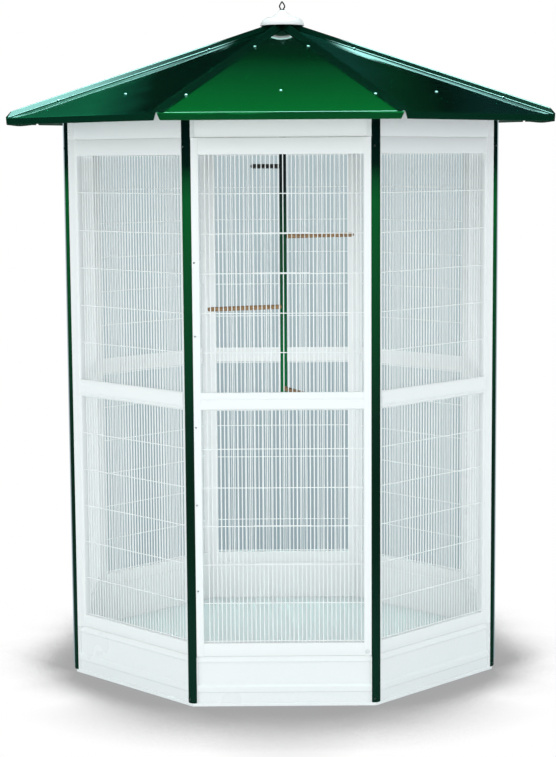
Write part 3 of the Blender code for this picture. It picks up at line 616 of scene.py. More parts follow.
def build_posts():
    """Posts: in plan a shallow arch closed by its chord, carried upright, its foot slightly rounded.

    They throw no shadow or bounce on the walls, because the photo's walls show none beside them.
    """
    top = roof_top((POST_RING + POST_RADIUS) * math.cos(HALF_TURN)) - SHEET - 0.001
    bottom = HEM_HEIGHT + GAP
    foot = ((bottom, 0.0030), (bottom + 0.0006, 0.0014), (bottom + 0.0022, 0.0004), (bottom + 0.0042, 0))
    angles = np.linspace(-ARCH_HALF, ARCH_HALF, 25)
    for number in range(SIDES):
        out, across = corner_axes(number)
        rings = []
        for z, inset in (*foot, (top, 0)):
            radial = ARCH_RING + (ARCH_RADIUS - inset) * np.cos(angles)
            side = (ARCH_RADIUS - inset * 0.5) * np.sin(angles)
            radial = np.append(radial, [ARCH_EDGE[0] - 0.0025] * 2)
            side = np.append(side, [side[-1], side[0]])
            plan = np.outer(radial, out) + np.outer(side, across)
            rings.append(np.column_stack([plan, np.full(len(plan), z)]))
        name = f"post_{number + 1}"
        post = piece(name, [skinned(rings)], POST_GREEN, (name,))
        post.visible_diffuse = False
        post.visible_shadow = False


def flare(side, low, high, face=0.0, start=0.2500):
    """Edge of a wall sheet that bends outwards to the post: a wedge in plan, carried upright."""
    plan = np.array([(start, -face), (FLARE_TIP - 0.0002, -FLARE_OUT),
                     (FLARE_TIP + 0.0022, -FLARE_OUT + 0.0010), (0.2662, 0.003), (start, 0.003)])
    return carried_up(plan * (side, 1), low, high)


def corner_wing(side, low, high, inner=0.0196, outer=0.0062):
    """Strip that closes a corner behind the post, its plan cut on the corner's own plane."""
    start = WINDOW_HALF + 0.004
    plan = np.array([(start, outer), ((WALL_APOTHEM - outer) * MITRE, outer),
                     ((WALL_APOTHEM - inner) * MITRE, inner), (start, inner)])
    return carried_up(plan * (side, 1), low, high)


def skirt_outline():
    """Folded skirt from the hem up: two pressed beads, each sloping at its top and cut under."""
    line = [
        (0.0070, HEM_HEIGHT * 0.5),
        (0.0070, 0.0405),
        (0.0105, 0.0435),
        (0.0105, 0.0590),
        (0.0040, 0.0655),
        (0.0040, 0.1315),
        (0.0075, 0.1345),
        (0.0075, 0.1390),
        (0.0000, SKIRT_TOP),
        (-0.0190, SKIRT_TOP),
    ]
    radii = (0, 0.001, 0.0015, 0.004, 0.004, 0.001, 0.0015, 0.003, 0.0015, 0)
    return bent_sheet(line, SHEET, radii)


def build_skirts():
    """Skirts with their hems and linings, each profile carried along its wall, and flared edges."""
    band = POST_OFFSET - POST_RADIUS - GAP
    hem = rounded([(-FRAME_DEPTH, 0), (0.012, 0), (0.012, HEM_HEIGHT), (-FRAME_DEPTH, HEM_HEIGHT)],
                  (0.0005, 0.001, 0.0022, 0.001))
    face, back = -0.0187, -0.0197
    low, high = TRAY_TOP + GAP, SKIRT_TOP - 0.0008
    lining = [(face, low), (face, high), (back, high), (back, low)]
    shapes = [along_wall(skirt_outline(), band, 3), along_wall(hem, mitred, 3), along_wall(lining, mitred)]
    for hand in (-1, 1):
        shapes.append(flare(hand, HEM_HEIGHT, SKIRT_TOP - 0.0004, 0.0045, 0.2570))
    for index, side in enumerate(SIDE_NAMES):
        piece("skirt_" + side, [turned_to(shape, index) for shape in shapes], WHITE, ("skirt_" + side,))


def build_headers():
    """Header sheets under the eave: one folded profile carried along each wall, its top with the roof."""
    top = roof_top(WALL_APOTHEM) - SHEET * 1.07 - 0.0004
    fold = -0.019
    line = [(fold, HEADER_BOTTOM), (0.0, HEADER_BOTTOM), (0.0, top), (fold, top - fold * ROOF_RISE)]
    sheet = along_wall(bent_sheet(line, SHEET, (0, 0.0015, 0.0015, 0)), mitred, 3)
    for index, side in enumerate(SIDE_NAMES):
        points, faces = turned_to(sheet, index)
        raised, faces = lifted((points, faces))
        shapes = [(np.where(points[:, 2:] > HEADER_BOTTOM + 0.05, raised, points), faces)]
        for hand in (-1, 1):
            shapes.append(turned_to(flare(hand, HEADER_BOTTOM, top - 0.004, 0.0012), index))
        piece("header_" + side, shapes, HEADER_PAINTED_LIGHT_WHITE, ("header_" + side,))


def rail_shape(door, half):
    """Middle rail: flat with a groove on the door, rounded with a crease and a lip on the walls."""
    if door:
        groove = 0.9240
        front = [(-0.0034, RAIL_LOW), (-0.0002, RAIL_LOW + 0.0015), (0.0006, groove - 0.0025),
                 (-0.0022, groove), (0.0, groove + 0.0022), (0.0, RAIL_HIGH - 0.0025), (-0.0024, RAIL_HIGH)]
        radii = [0.001, 0.0015, 0.001, 0.0012, 0.001, 0.0025, 0.001]
        front = [(DOOR_OUT + out, z) for out, z in front]
    else:
        front = [(0.0005, RAIL_LOW), (0.0042, RAIL_LOW + 0.0012), (0.0042, 0.8965), (0.0012, 0.8990),
                 (0.0048, 0.9060), (0.0052, 0.9250), (0.0030, RAIL_HIGH - 0.0040), (0.0, RAIL_HIGH)]
        radii = [0.0008, 0.001, 0.001, 0.0015, 0.004, 0.010, 0.006, 0.001]
    outline = [(-0.004, RAIL_LOW), *front, (-0.004, RAIL_HIGH)]
    return along_wall(rounded(outline, [0.0006, *radii, 0.0006], 4), half)


def wavy(length_from, length_to, steps, amount, seed):
    """Sideways offsets of a wire that isn't quite straight: three slow sines of random phase."""
    draw = np.random.default_rng(seed)
    share = np.linspace(length_from, length_to, steps)
    offset = np.zeros(steps)
    for turns in (1.3, 2.9, 5.3):
        offset += math.sqrt(1 / turns) * np.sin(turns * 2 * math.pi * share / 1.5 + draw.uniform(0, 6.28))
    return share, offset * amount * draw.uniform(0.3, 1.0)


def wire_set(gaps, seed):
    """Welded mesh: upright wires behind, cross wires in front, each a thin round bar.

    Inside the gaps' heights the uprights between the gap's sides are left out.
    """
    shapes = []
    shift = DOOR_MESH_SHIFT if gaps else 0.0
    ends = (WINDOW_LOW - WIRE_END, WINDOW_HIGH + WIRE_END)
    for index in range(1, UPRIGHTS + 1):
        stops = [ends[0]]
        if gaps and FEEDER_LEFT < index < FEEDER_RIGHT:
            for low, high in gaps:
                stops.extend((low + 0.001, high - 0.001))
        stops.append(ends[1])
        share, offset = wavy(*ends, 26, 0.00025, seed * 100 + index)
        for low, high in zip(stops[::2], stops[1::2]):
            heights = np.linspace(low, high, max(4, int((high - low) * 16)))
            x = upright_place(index, shift) + np.interp(heights, share, offset)
            depths = np.full(len(heights), UPRIGHT_DEPTH - WALL_APOTHEM)
            shapes.append(tube(np.stack([x, depths, heights], axis=1), UPRIGHT_RADIUS, 7))
    for number, z in enumerate(CROSS_LOW + CROSS_HIGH):
        side = WINDOW_HALF + WIRE_END
        share, offset = wavy(-side, side, 30, 0.00035, seed * 100 + 50 + number)
        path = np.stack([share, np.full(30, CROSS_DEPTH - WALL_APOTHEM), z + offset], axis=1)
        shapes.append(tube(path, CROSS_RADIUS, 8))
    return shapes


def upright_place(index, shift):
    """Place of an upright wire along its wall."""
    return -WINDOW_HALF + index * UPRIGHT_PITCH + shift


def frame_shapes(door):
    """Wall frame: two stiles full height, the bottom, middle and top rails between them."""
    gap = DOOR_GAP if door else GAP
    face = -DOOR_OUT if door else 0.0
    outer = LEAF_HALF + (DOOR_WIDER if door else 0.0)
    low, high = SKIRT_TOP + gap, HEADER_BOTTOM - gap
    shapes = []
    for side in (-1, 1):
        x0, x1 = sorted((side * WINDOW_HALF, side * outer))
        shapes.append(upright_bar(x0, x1, face, FRAME_DEPTH, low, high))
        if not door:
            shapes.append(corner_wing(side, low + 0.0002, high - 0.0002))
            shapes.append(flare(side, low, high))
    inner = WINDOW_HALF + 0.0005
    for bottom, top in ((low, WINDOW_LOW), (WINDOW_HIGH, high)):
        shapes.append(level_bar(inner, face + GAP, FRAME_DEPTH - GAP, bottom, top))
    shapes.append(rail_shape(door, inner))
    return shapes


def build_walls():
    """Seven fixed walls: frame and mesh as two pieces each."""
    frame_bars = frame_shapes(False)
    for index, side in enumerate(SIDE_NAMES):
        if index == 0:
            continue
        node = "wall_" + side
        wires = wire_set((), index)
        piece(f"frame_{side}", [turned_to(shape, index) for shape in frame_bars], WHITE, (node,))
        piece(f"mesh_{side}", [turned_to(shape, index) for shape in wires], WIRE, (node,), sharp=60)


def pin_shape(low, high, centre):
    """Round upright pin with the edges of both ends broken."""
    edge, small = 0.0006, PIVOT_RADIUS - 0.0004
    profile = [(0, low), (small, low), (PIVOT_RADIUS, low + edge),
               (PIVOT_RADIUS, high - edge), (small, high), (0, high)]
    return lathed(profile, 20, centre)


def build_door():
    """Door leaf: its frame with the two pivots, and its mesh with the feeder gaps."""
    pivot = (-LEAF_HALF + PIVOT_IN, -WALL_APOTHEM + PIVOT_DEPTH, 0)
    shapes = frame_shapes(True)
    shapes.append(pin_shape(SKIRT_TOP - PIVOT_REACH, SKIRT_TOP + PIVOT_LENGTH, pivot))
    shapes.append(pin_shape(HEADER_BOTTOM - PIVOT_LENGTH, HEADER_BOTTOM + PIVOT_REACH, pivot))
    piece("door_frame", shapes, WHITE, ("door_leaf",), "door")
    piece("door_mesh", wire_set(FEEDER_GAPS, 9), WIRE, ("door_leaf",), "door", sharp=60)


def feeder_shapes(low, high):
    """Feeder door: fourteen short uprights between two wires whose ends hook round the mesh."""
    front = FEEDER_DEPTH - WALL_APOTHEM
    left = upright_place(FEEDER_LEFT, DOOR_MESH_SHIFT)
    right = upright_place(FEEDER_RIGHT, DOOR_MESH_SHIFT)
    deep = UPRIGHT_DEPTH + 0.0023
    hook = rounded([(0, FEEDER_DEPTH), (0.0025, FEEDER_DEPTH), (0.0025, deep), (-0.0002, deep)],
                   (0, 0.001, 0.001, 0), 3, closed=False)[1:]
    shapes = []
    for z in (low + FEEDER_RISE, high + FEEDER_RISE):
        path = [(right + x, depth - WALL_APOTHEM, z) for x, depth in hook[::-1]]
        path += [(x, front, z) for x in np.linspace(right, left, 13)]
        path += [(left - x, depth - WALL_APOTHEM, z) for x, depth in hook]
        shapes.append(tube(path, 0.00098, 8))
    for index in range(FEEDER_LEFT, FEEDER_RIGHT + 1):
        heights = np.linspace(low + FEEDER_RISE, high + FEEDER_RISE, 5)
        x = np.full(5, upright_place(index, DOOR_MESH_SHIFT))
        shapes.append(tube(np.stack([x, np.full(5, front), heights], axis=1), FEEDER_WIRE, 7))
    return shapes


def build_feeders():
    """The two sliding feeder doors."""
    for name, (low, high) in zip(("lower", "upper"), FEEDER_GAPS):
        shapes = feeder_shapes(low, high)
        piece(f"feeder_{name}", shapes, WIRE, (f"feeder_door_{name}",), "feeder_" + name, sharp=60)


def build_catch():
    """Quarter-turn catch: a domed head and barrel turned about Y, and behind it a round-ended cam."""
    x, z = LEAF_HALF - CATCH_IN, SKIRT_TOP + CATCH_UP
    profile = [(0, -0.0068), (0.003, -0.0067), (0.0055, -0.0062), (0.0065, -0.0054), (0.0045, -0.0052),
               (0.0045, 0.0224), (0, 0.0224)]
    points, faces = lathed(profile, 28)
    points = np.stack([points[:, 0] + x, points[:, 2] - WALL_APOTHEM, points[:, 1] + z], axis=1)
    shapes = [facing_out(points, faces)]
    tail, tip, half = 0.0055, -0.026, 0.0045
    plan = [(tail, -half), (tail, half), (tip, half), (tip, -half)]
    plan = rounded(plan, (0.003, 0.003, 0.0042, 0.0042), 6)
    shapes.append(skinned([
        np.stack([x + plan[:, 0], np.full(len(plan), depth - WALL_APOTHEM), z + plan[:, 1]], axis=1)
        for depth in (FRAME_DEPTH + GAP, FRAME_DEPTH + 0.0023)
    ]))
    piece("door_catch_piece", shapes, CATCH, ("door_catch",), "catch")


def roof_panel_shape(index):
    """Roof panel: lip, rolled fold and slope as one outline, repeated across the panel's width.

    The half width shrinks with the apothem so that the panel is a wedge; the lip's ends are cut
    back. A slow wave of half a millimetre across the sheet stands for its oil-canning.
    """
    eave = EAVE_APOTHEM - WALL_APOTHEM
    apothem = EAVE_APOTHEM + (ROOF_TOP_APOTHEM - EAVE_APOTHEM) * np.arange(1, 25) / 24
    slope = list(zip(apothem - WALL_APOTHEM, roof_top(apothem)))
    line = [(eave - 0.0012, EAVE_Z - ROOF_LIP), (eave, EAVE_Z - ROOF_LIP + 0.002), (eave, EAVE_Z)] + slope
    radii = [0, 0.001, 0.0028] + [0] * len(slope)
    out, z = bent_sheet(line, SHEET, radii, 5).T
    apothem = WALL_APOTHEM + out
    cut = LIP_CUT * np.clip((EAVE_Z - 0.003 - z) / (ROOF_LIP - 0.003), 0, 1)
    reach = apothem * MITRE - PANEL_GAP - cut
    inward = (EAVE_APOTHEM - apothem) / (EAVE_APOTHEM - ROOF_TOP_APOTHEM)
    share = np.linspace(-1, 1, 41)[:, None]
    phase = np.random.default_rng(40 + index).uniform(0, 6.28, 2)
    calm = (1 - share ** 2) * np.sin(math.pi * np.clip(inward, 0, 1)) ** 0.7
    wave = np.sin(5 * inward * math.pi + phase[0] + 2.2 * share)
    wave += 0.7 * np.sin(3.1 * share * math.pi + phase[1] + 3 * inward)
    flat = np.broadcast_to(-apothem, wave.shape)
    return skinned(np.stack([share * reach, flat, z + SHEET_WAVE * calm * wave], axis=2))


def build_roof_panels():
    """Eight roof panels."""
    for index, side in enumerate(SIDE_NAMES):
        shape = leaning(lifted(turned_to(roof_panel_shape(index), index)))
        paint = ROOF_GREENS.get(side, ROOF_GREEN_REST)
        piece("roof_" + side, [shape], paint, ("roof_panel_" + side,), sharp=50)


def hip_cap_shape():
    """Hip cap: a folded section with a raised rib, carried up the hip from the eave to the hub.

    The section's flanges lie on the two panels, so they fall away from the hip; at the eave the
    flanges are clipped to the fold lines and the rib's end leans back.
    """
    fall = math.sin(HALF_TURN) * ROOF_RISE
    crest = CAP_RIB - SHEET * math.hypot(1, CAP_RIB / RIB_HALF)
    line = []
    for across in (-CAP_HALF, -RIB_HALF, 0, RIB_HALF, CAP_HALF):
        line.append((across, CAP_LIFT - abs(across) * fall + (crest if across == 0 else 0)))
    outline = braced(bent_sheet(line, SHEET, (0, 0.0042, 0.0048, 0.0042, 0), 6))
    return [cap_part(outline, np.linspace(0, 1, 28)), cap_part(outline[:len(outline) // 2], (0.0005, 0.012))]


def cap_part(outline, shares):
    """The section at shares of the way up the hip, its low end cut to the eave, closed as one shape."""
    across, above = outline.T
    low = (EAVE_APOTHEM + CAP_OVERHANG - np.abs(across) * math.sin(HALF_TURN)) / math.cos(HALF_TURN)
    low -= CAP_LEAN * np.clip((above - 0.0025) / (CAP_RIB - 0.0045), 0, 1)
    radius = low + (CAP_TOP_RING - low) * np.array(shares)[:, None]
    height = roof_top(radius * math.cos(HALF_TURN)) + above
    return skinned(np.stack([np.broadcast_to(across, radius.shape), -radius, height], axis=2))


def build_hip_caps():
    """Eight hip caps, each turned to its hip."""
    for number in range(SIDES):
        shapes = [leaning(lifted(turned_to(shape, number + 0.5))) for shape in hip_cap_shape()]
        node = f"hip_cap_{number + 1}"
        piece(f"cap_{number + 1}", shapes, CAP_GREEN, (node,), sharp=30)


def build_finial():
    """Dome and its small cone as one profile turned about Z, then a nut and the bent loop."""
    base = DOME_BASE - 0.0030
    profile = [(0.0, base + 0.0250), (0.0330, base + 0.0250), (0.0560, base + 0.0185),
               (0.0665, base + 0.0060), (0.0680, base), (0.0695, base),
               (DOME_RADIUS, base + 0.0008), (DOME_RADIUS, base + 0.0022)]
    for turn in np.radians(range(8, 90, 8)):
        profile.append((0.033 + 0.0370 * math.cos(turn), base + 0.0022 + 0.0263 * math.sin(turn)))
    profile += [(0.0330, base + 0.0285), (0.0316, base + 0.0290), (0.0306, base + 0.0304)]
    for share in (0.15, 0.3, 0.45, 0.6, 0.75, 0.9, 1.0):
        profile.append((0.0306 - 0.0221 * share, base + 0.0304 + 0.0186 * (share * 0.75 + 0.25 * share ** 2)))
    profile += [(0.0075, base + 0.0490), (0, base + 0.0490)]
    middle = (APEX_LEAN, 0, 0)
    piece("dome", [lathed(profile, 72, middle)], WHITE, ("finial_dome",))
    foot = base + 0.0493
    nut = [(0, foot - 0.004), (0.0025, foot - 0.004), (0.0025, foot), (0.0078, foot), (0.0082, foot + 0.0006),
           (0.0080, foot + 0.0022), (0.0068, foot + 0.0030), (0, foot + 0.0030)]
    half = [(0.0048, 0.0020), (0.0040, 0.0040), (0.0046, 0.0058), (0.0066, 0.0078), (0.0080, 0.0103),
            (0.0083, 0.0130), (0.0074, 0.0160), (0.0058, 0.0190), (0.0038, 0.0222), (0.0017, 0.0255)]
    bend = half + [(0, 0.0278)] + [(-x, z) for x, z in reversed(half)]
    loop = tube([(APEX_LEAN + x, 0, foot + z) for x, z in bend], 0.0021, 12)
    piece("loop", [lathed(nut, 32, middle), loop], STEEL, ("finial_loop",), sharp=50)


def build_hub():
    """Hub under the roof's top: a cone that stays just below the panels, and a collar up to the dome."""
    collar, flange = 0.0125, 0.060
    profile = [(0, 2.018), (flange, 2.018), (flange, 2.0255), (collar, 2.0425), (collar, 2.0660), (0, 2.0660)]
    piece("hub_piece", [lathed(profile, 48)], HUB_GREEN, ("roof_hub",))


def build_tree():
    """Pole and the four wooden perches, each a round bar that isn't quite even."""
    top = DOME_BASE - 0.0042
    profile = [(0, POLE_FOOT), (0.0083, POLE_FOOT), (0.0104, POLE_FOOT + 0.0009),
               (POLE_RADIUS, POLE_FOOT + 0.003), (POLE_RADIUS, top), (0, top)]
    pole = lathed(profile, 32, (POLE_SHIFT, 0, 0))
    piece("pole", [pole], POLE_GREEN, ("perch_pole",))
    share = np.linspace(0, 1, 28)
    reach = 0.0106 + (PERCH_REACH - 0.0106) * share
    for number, (height, heading) in enumerate(PERCHES):
        draw = np.random.default_rng(70 + number)
        angle = math.radians(heading)
        out = np.array([math.cos(angle), math.sin(angle), 0.0])
        uneven = 0.025 * np.sin(7 * share + draw.uniform(0, 6))
        uneven += 0.012 * np.sin(19 * share + draw.uniform(0, 6))
        radius = PERCH_RADIUS * (1 + uneven)
        radius[-1] *= 0.78
        radius = np.minimum(radius, PERCH_RADIUS + 0.0003)
        root = np.array([POLE_SHIFT, 0, height])
        path = out * reach[:, None] + root - np.outer(share, (POLE_SHIFT, 0, 0))
        tenon = np.stack([out * r + root for r in (0.0050, POLE_RADIUS)])
        shapes = [tube(path, radius, 20), tube(tenon, 0.004, 14)]
        node = f"perch_{number + 1}"
        piece(f"perch_bar_{number + 1}", shapes, WOOD, (node,), sharp=50)


def build_tray():
    """Floor sheet: an octagon with a turned-down edge, its top falling a hair towards the middle."""
    edge = (WALL_APOTHEM - 0.0012) / math.cos(HALF_TURN)
    angles = (np.arange(SIDES) + 0.5) * 2 * HALF_TURN
    foot, middle = 0.0101, 0.0001
    profile = [(middle, 0.0192), (edge * 0.5, 0.0194), (edge - 0.0015, TRAY_TOP), (edge, 0.0188),
               (edge, foot), (edge - 0.0016, foot), (edge - 0.0018, 0.0180), (middle, 0.0176)]
    rings = []
    for radius, z in profile:
        rings.append(np.stack([radius * np.cos(angles), radius * np.sin(angles), np.full(SIDES, z)], axis=1))
    piece("tray", [skinned(rings)], TRAY, ("floor_tray",))


def screw_at(point, normal, radius=0.0045, height=0.0026):
    """Pan-head screw: a low dome on a point, standing along the surface's normal there."""
    sunk, rim = -0.0004, 0.0005
    profile = [(0, sunk), (radius, sunk)]
    for turn in np.radians((0, 25, 50, 75)):
        profile.append((radius * math.cos(turn), rim + (height - rim) * math.sin(turn)))
    profile.append((0, height))
    points, faces = lathed(profile, 18)
    normal = Vector(normal).normalized()
    turn = np.array(Vector((0, 0, 1)).rotation_difference(normal).to_matrix())
    return facing_out(points @ turn.T + np.asarray(point), faces)


def roof_normal(angle):
    """Direction square to the roof face that looks towards a plan angle."""
    return (math.sin(angle) * ROOF_RISE, -math.cos(angle) * ROOF_RISE, 1.0)


def build_roof_screws():
    """Two pairs of screws on each cap's flanges, and one in the middle of each roof face."""
    shapes = []
    drop = SCREW_ACROSS * math.sin(HALF_TURN) * ROOF_RISE - SHEET - 0.0006
    for number in range(SIDES):
        hip, across = corner_axes(number)
        for ring in SCREW_RINGS:
            z = roof_top(ring * math.cos(HALF_TURN)) - drop
            for side in (-1, 1):
                spot = hip * ring + across * side * SCREW_ACROSS
                face = (number + 0.5 + side * 0.5) * 2 * HALF_TURN
                shapes.append(leaning(lifted(screw_at((*spot, z), roof_normal(face)))))
    for index in range(SIDES):
        face = index * 2 * HALF_TURN
        apothem = PANEL_SCREW_APOTHEM
        spot = (math.sin(face) * apothem, -math.cos(face) * apothem, roof_top(apothem) + 0.0002)
        shapes.append(leaning(lifted(screw_at(spot, roof_normal(face), 0.0048))))
    piece("roof_screws", shapes, SCREW, ())


def build_screws():
    """Screws in the roof, one at the foot and one at the head of each post, and the door's rivets."""
    build_roof_screws()
    posts = []
    for number in range(SIDES):
        out, _ = corner_axes(number)
        angle = (number + 0.5) * 2 * HALF_TURN - 0.35
        direction = np.array([math.sin(angle), -math.cos(angle), 0])
        for z in (0.022, 1.66):
            centre = np.array([*(ARCH_RING * out), z])
            posts.append(screw_at(centre + direction * ARCH_RADIUS, direction, 0.0030, 0.0016))
    piece("post_screws", posts, SCREW, ())
    rivets = []
    for z in RIVET_HEIGHTS:
        spot = (-LEAF_HALF + 0.0050, -WALL_APOTHEM - DOOR_OUT - 0.0001, z)
        rivets.append(screw_at(spot, (0, -1, 0), 0.0024, 0.0010))
    piece("door_rivets", rivets, SCREW, (), "door")


def floor_material():
    """Pale floor that glows white to the camera except in the cage's soft shadow, which is painted into the
    glow.

    The shadow's tone follows how open the ground is above each point, from full to clear. Both ends
    and the curve between them change from straight ahead to the sides. Behind the cage and far from
    it the ground counts as more open. Bounced rays see a plain pale floor, mirror rays a dark one.
    """
    material, nodes, shader, place = new_material("floor")
    shader.inputs["Base Color"].default_value = (*FLOOR_BOUNCE, 1)
    shader.inputs["Roughness"].default_value = 0.9
    shader.inputs["Specular IOR Level"].default_value = 0.0
    split = nodes.add("ShaderNodeSeparateXYZ", Vector=place)
    reach = nodes.add("ShaderNodeVectorMath", i0=place)
    reach.operation = "LENGTH"
    reach = reach.outputs["Value"]
    sideways = nodes.maths("ABSOLUTE", nodes.maths("DIVIDE", split.outputs[0], reach))
    sideways = nodes.maths("POWER", sideways, SHADOW_SPREAD)
    near = nodes.add("ShaderNodeAmbientOcclusion", Distance=SHADOW_REACH)
    near.samples = 8
    full, clear, curve = (nodes.ramp(sideways, 0.0, 1.0, *ends, smooth=False)
                          for ends in (SHADOW_FULL, SHADOW_CLEAR, SHADOW_CURVE))
    behind = nodes.ramp(split.outputs[1], -0.15, 0.22, 0.0, SHADOW_BEHIND, smooth=False)
    away = nodes.maths("ADD", behind, nodes.ramp(reach, *SHADOW_END, 0.0, 0.06))
    light = nodes.maths("SUBTRACT", nodes.maths("ADD", near.outputs["AO"], away), full)
    light = nodes.maths("DIVIDE", light, nodes.maths("SUBTRACT", clear, full), clamp=True)
    light = nodes.maths("POWER", light, curve)
    # Painted shadow: the glow's tone makes it, not the lamps
    tone = nodes.blend(light, (*SHADOW_TONE, 1), (1.0, 1.0, 1.0, 1))
    glow = nodes.add("ShaderNodeEmission", Color=tone, Strength=1.0).outputs[0]
    dark = nodes.add("ShaderNodeBsdfDiffuse", Color=(0.05, 0.06, 0.06, 1)).outputs[0]
    path = nodes.add("ShaderNodeLightPath").outputs
    bounce = nodes.either(path["Is Glossy Ray"], shader.outputs[0], dark)
    surface = nodes.either(path["Is Camera Ray"], bounce, glow)
    nodes.tree.links.new(surface, nodes.tree.nodes["Material Output"].inputs[0])
    return material


def ring_material():
    """Grey glow of painted shade that rises in tone, seen only on the ring's inner side; its outer side is
    clear.
    """
    material, nodes, shader, place = new_material("painted_shade_ring")
    nodes.tree.nodes.remove(shader)
    split = nodes.add("ShaderNodeSeparateXYZ", Vector=place)
    tone = nodes.blend(nodes.ramp(split.outputs[2], 0.15, 1.65), (*RING_PAINTED_SHADE_LOW, 1), (*RING_PAINTED_SHADE_HIGH, 1))
    glow = nodes.add("ShaderNodeEmission", Color=tone, Strength=1.0).outputs[0]
    clear = nodes.add("ShaderNodeBsdfTransparent").outputs[0]
    facing = nodes.add("ShaderNodeNewGeometry").outputs["Backfacing"]
    surface = nodes.either(facing, glow, clear)
    nodes.tree.links.new(surface, nodes.tree.nodes["Material Output"].inputs[0])
    return material


def build_ring():
    """Octagonal ring just outside the walls: a glowing grey band of painted shade behind the far side's
    wires.

    It shows only from inside, so that the far side of the cage looks as in the photo from anywhere.
    """
    radius = (WALL_APOTHEM + FRAME_DEPTH) / math.cos(HALF_TURN)
    corners = [(*(radius * corner_axes(number)[0]), z) for number in range(SIDES) for z in (0.03, 1.80)]
    low = 2 * np.arange(SIDES)
    following = np.roll(low, -1)
    faces = np.stack([low, low + 1, following + 1, following], axis=1)
    mesh = bpy.data.meshes.new("painted_shade_ring")
    mesh.from_pydata(corners, [], faces.tolist())
    mesh.materials.append(ring_material())
    ring = bpy.data.objects.new("painted_shade_ring", mesh)
    bpy.context.scene.collection.objects.link(ring)
    ring.visible_diffuse = False
    ring.visible_glossy = False
    ring.visible_shadow = False
    ring.visible_transmission = False
    return ring


def build_stage():
    """Floor with its painted shadow, and the ring of painted shade behind the mesh."""
    bpy.ops.mesh.primitive_plane_add(size=30, location=(0, 0, 0))
    floor = bpy.context.object
    floor.name = "floor"
    floor.data.materials.append(floor_material())
    build_ring()


def area_light(name, place, target, size, power, colour=(1, 1, 1)):
    """Soft rectangular light that looks at a point, and that mirrors and the camera don't see."""
    data = bpy.data.lights.new(name, "AREA")
    data.shape = "RECTANGLE"
    data.size, data.size_y = size
    data.energy = power
    data.color = colour
    light = bpy.data.objects.new(name, data)
    bpy.context.scene.collection.objects.link(light)
    light.location = place
    light.rotation_euler = (Vector(target) - Vector(place)).to_track_quat("-Z", "Y").to_euler()
    light.visible_glossy = False
    light.visible_camera = False
    return light


def light_studio():
    """Three broad front lights, a weak one inside the cage, one overhead and one behind."""
    middle = (0, 0, 1.0)
    area_light("front_left", (-3.4, -4.3, 2.0), middle, (2.6, 2.6), 46, (1.0, 0.995, 0.985))
    area_light("front_right", (3.5, -4.1, 1.9), middle, (2.6, 2.6), 34, (0.98, 0.99, 1.0))
    area_light("front_fill", (0, -6.6, 1.3), middle, (3.4, 2.4), 28, (1.0, 0.95, 0.93))
    inner = area_light("inner_fill", (0, -0.50, 0.95), (0, 1.0, 0.80), (0.60, 1.3), 1.6, (0.97, 1.0, 1.0))
    inner.data.spread = math.radians(95)
    area_light("overhead", (0, -0.4, 5.2), (0, 0, 0), (3.0, 3.0), 50)
    area_light("back", (0, 4.6, 3.4), middle, (4.0, 2.0), 40)


def mirrored_glow(nodes):
    """Strength that mirror rays see near the zenith: a patch ahead and a band a little behind.

    The patch lies in one range of directions along X and gives the left cap its pale flank; the
    band gives the folds their bright lines.
    """
    toward = nodes.add("ShaderNodeTexCoord").outputs["Generated"]
    x, y, z = nodes.add("ShaderNodeSeparateXYZ", Vector=toward).outputs
    high = nodes.ramp(z, 0.82, 0.88)
    ahead = nodes.maths("SUBTRACT", 1.0, nodes.ramp(y, -0.26, -0.16))
    patch = nodes.ramp(x, -0.03, 0.04, 0.1, FLANK_GLOW)
    patch = nodes.maths("MULTIPLY", patch, nodes.ramp(x, 0.078, 0.138, 1.0, 0.03))
    patch = nodes.maths("MULTIPLY", patch, nodes.ramp(x, 0.076, 0.100, 1.4, 0.85))
    patch = nodes.maths("MULTIPLY", patch, ahead)
    band = nodes.maths("MULTIPLY", nodes.ramp(y, 0.05, 0.13), OVERHEAD_GLOW)
    return nodes.maths("MULTIPLY", high, nodes.maths("ADD", patch, band))


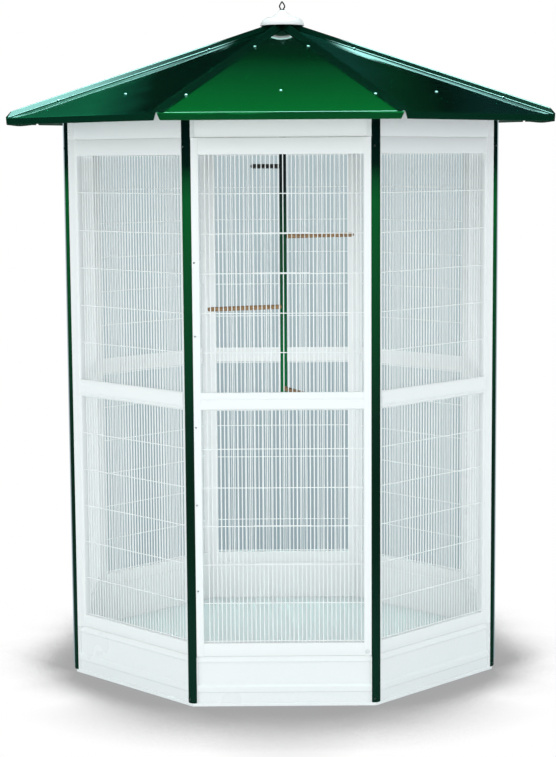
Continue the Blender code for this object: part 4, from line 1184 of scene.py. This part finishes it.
def light_surroundings():
    """World: white to the camera, slightly dimmer to bounced rays, nearly dark to mirror rays."""
    world = bpy.data.worlds.new("surround")
    bpy.context.scene.world = world
    world.use_nodes = True
    tree = world.node_tree
    nodes = Nodes(tree)
    path = nodes.add("ShaderNodeLightPath").outputs
    glossy = nodes.maths("ADD", mirrored_glow(nodes), GLOSS_SURROUND)
    glossy = nodes.maths("MULTIPLY", glossy, path["Is Glossy Ray"])
    diffuse = nodes.maths("MULTIPLY", path["Is Diffuse Ray"], SURROUND)
    strength = nodes.maths("MAXIMUM", nodes.maths("MAXIMUM", glossy, diffuse), path["Is Camera Ray"])
    tint = nodes.blend(path["Is Diffuse Ray"], (1, 1, 1, 1), (*SURROUND_TINT, 1))
    tint = nodes.blend(path["Is Glossy Ray"], tint, (*GLOSS_TINT, 1))
    background = tree.nodes["Background"]
    tree.links.new(tint, background.inputs[0])
    tree.links.new(strength, background.inputs[1])


def aim_camera():
    """Camera at the photo's place, looking slightly down, with its small roll and yaw."""
    data = bpy.data.cameras.new("camera")
    data.lens = VIEW_LENS
    data.sensor_width = 36.0
    data.shift_x, data.shift_y = VIEW_SHIFT
    data.clip_end = 60.0
    camera = bpy.data.objects.new("camera", data)
    bpy.context.scene.collection.objects.link(camera)
    bpy.context.scene.camera = camera
    forward = Vector((0, math.cos(VIEW_PITCH), -math.sin(VIEW_PITCH)))
    up = Vector((0, math.sin(VIEW_PITCH), math.cos(VIEW_PITCH)))
    right = Vector((1, 0, 0))
    cosine, sine = math.cos(VIEW_ROLL), math.sin(VIEW_ROLL)
    turn = Matrix.Rotation(-VIEW_YAW, 3, "Z")
    axes = [turn @ (right * cosine + up * sine), turn @ (up * cosine - right * sine), turn @ -forward]
    matrix = Matrix(axes).transposed().to_4x4()
    matrix.translation = turn @ Vector((0, -VIEW_DISTANCE, VIEW_HEIGHT))
    camera.matrix_world = matrix


build_posts()
build_skirts()
build_headers()
build_walls()
build_door()
build_feeders()
build_catch()
build_roof_panels()
build_hub()
build_hip_caps()
build_finial()
build_tree()
build_tray()
build_screws()
build_stage()
light_studio()
light_surroundings()
aim_camera()
bpy.context.scene.view_settings.view_transform = "Standard"
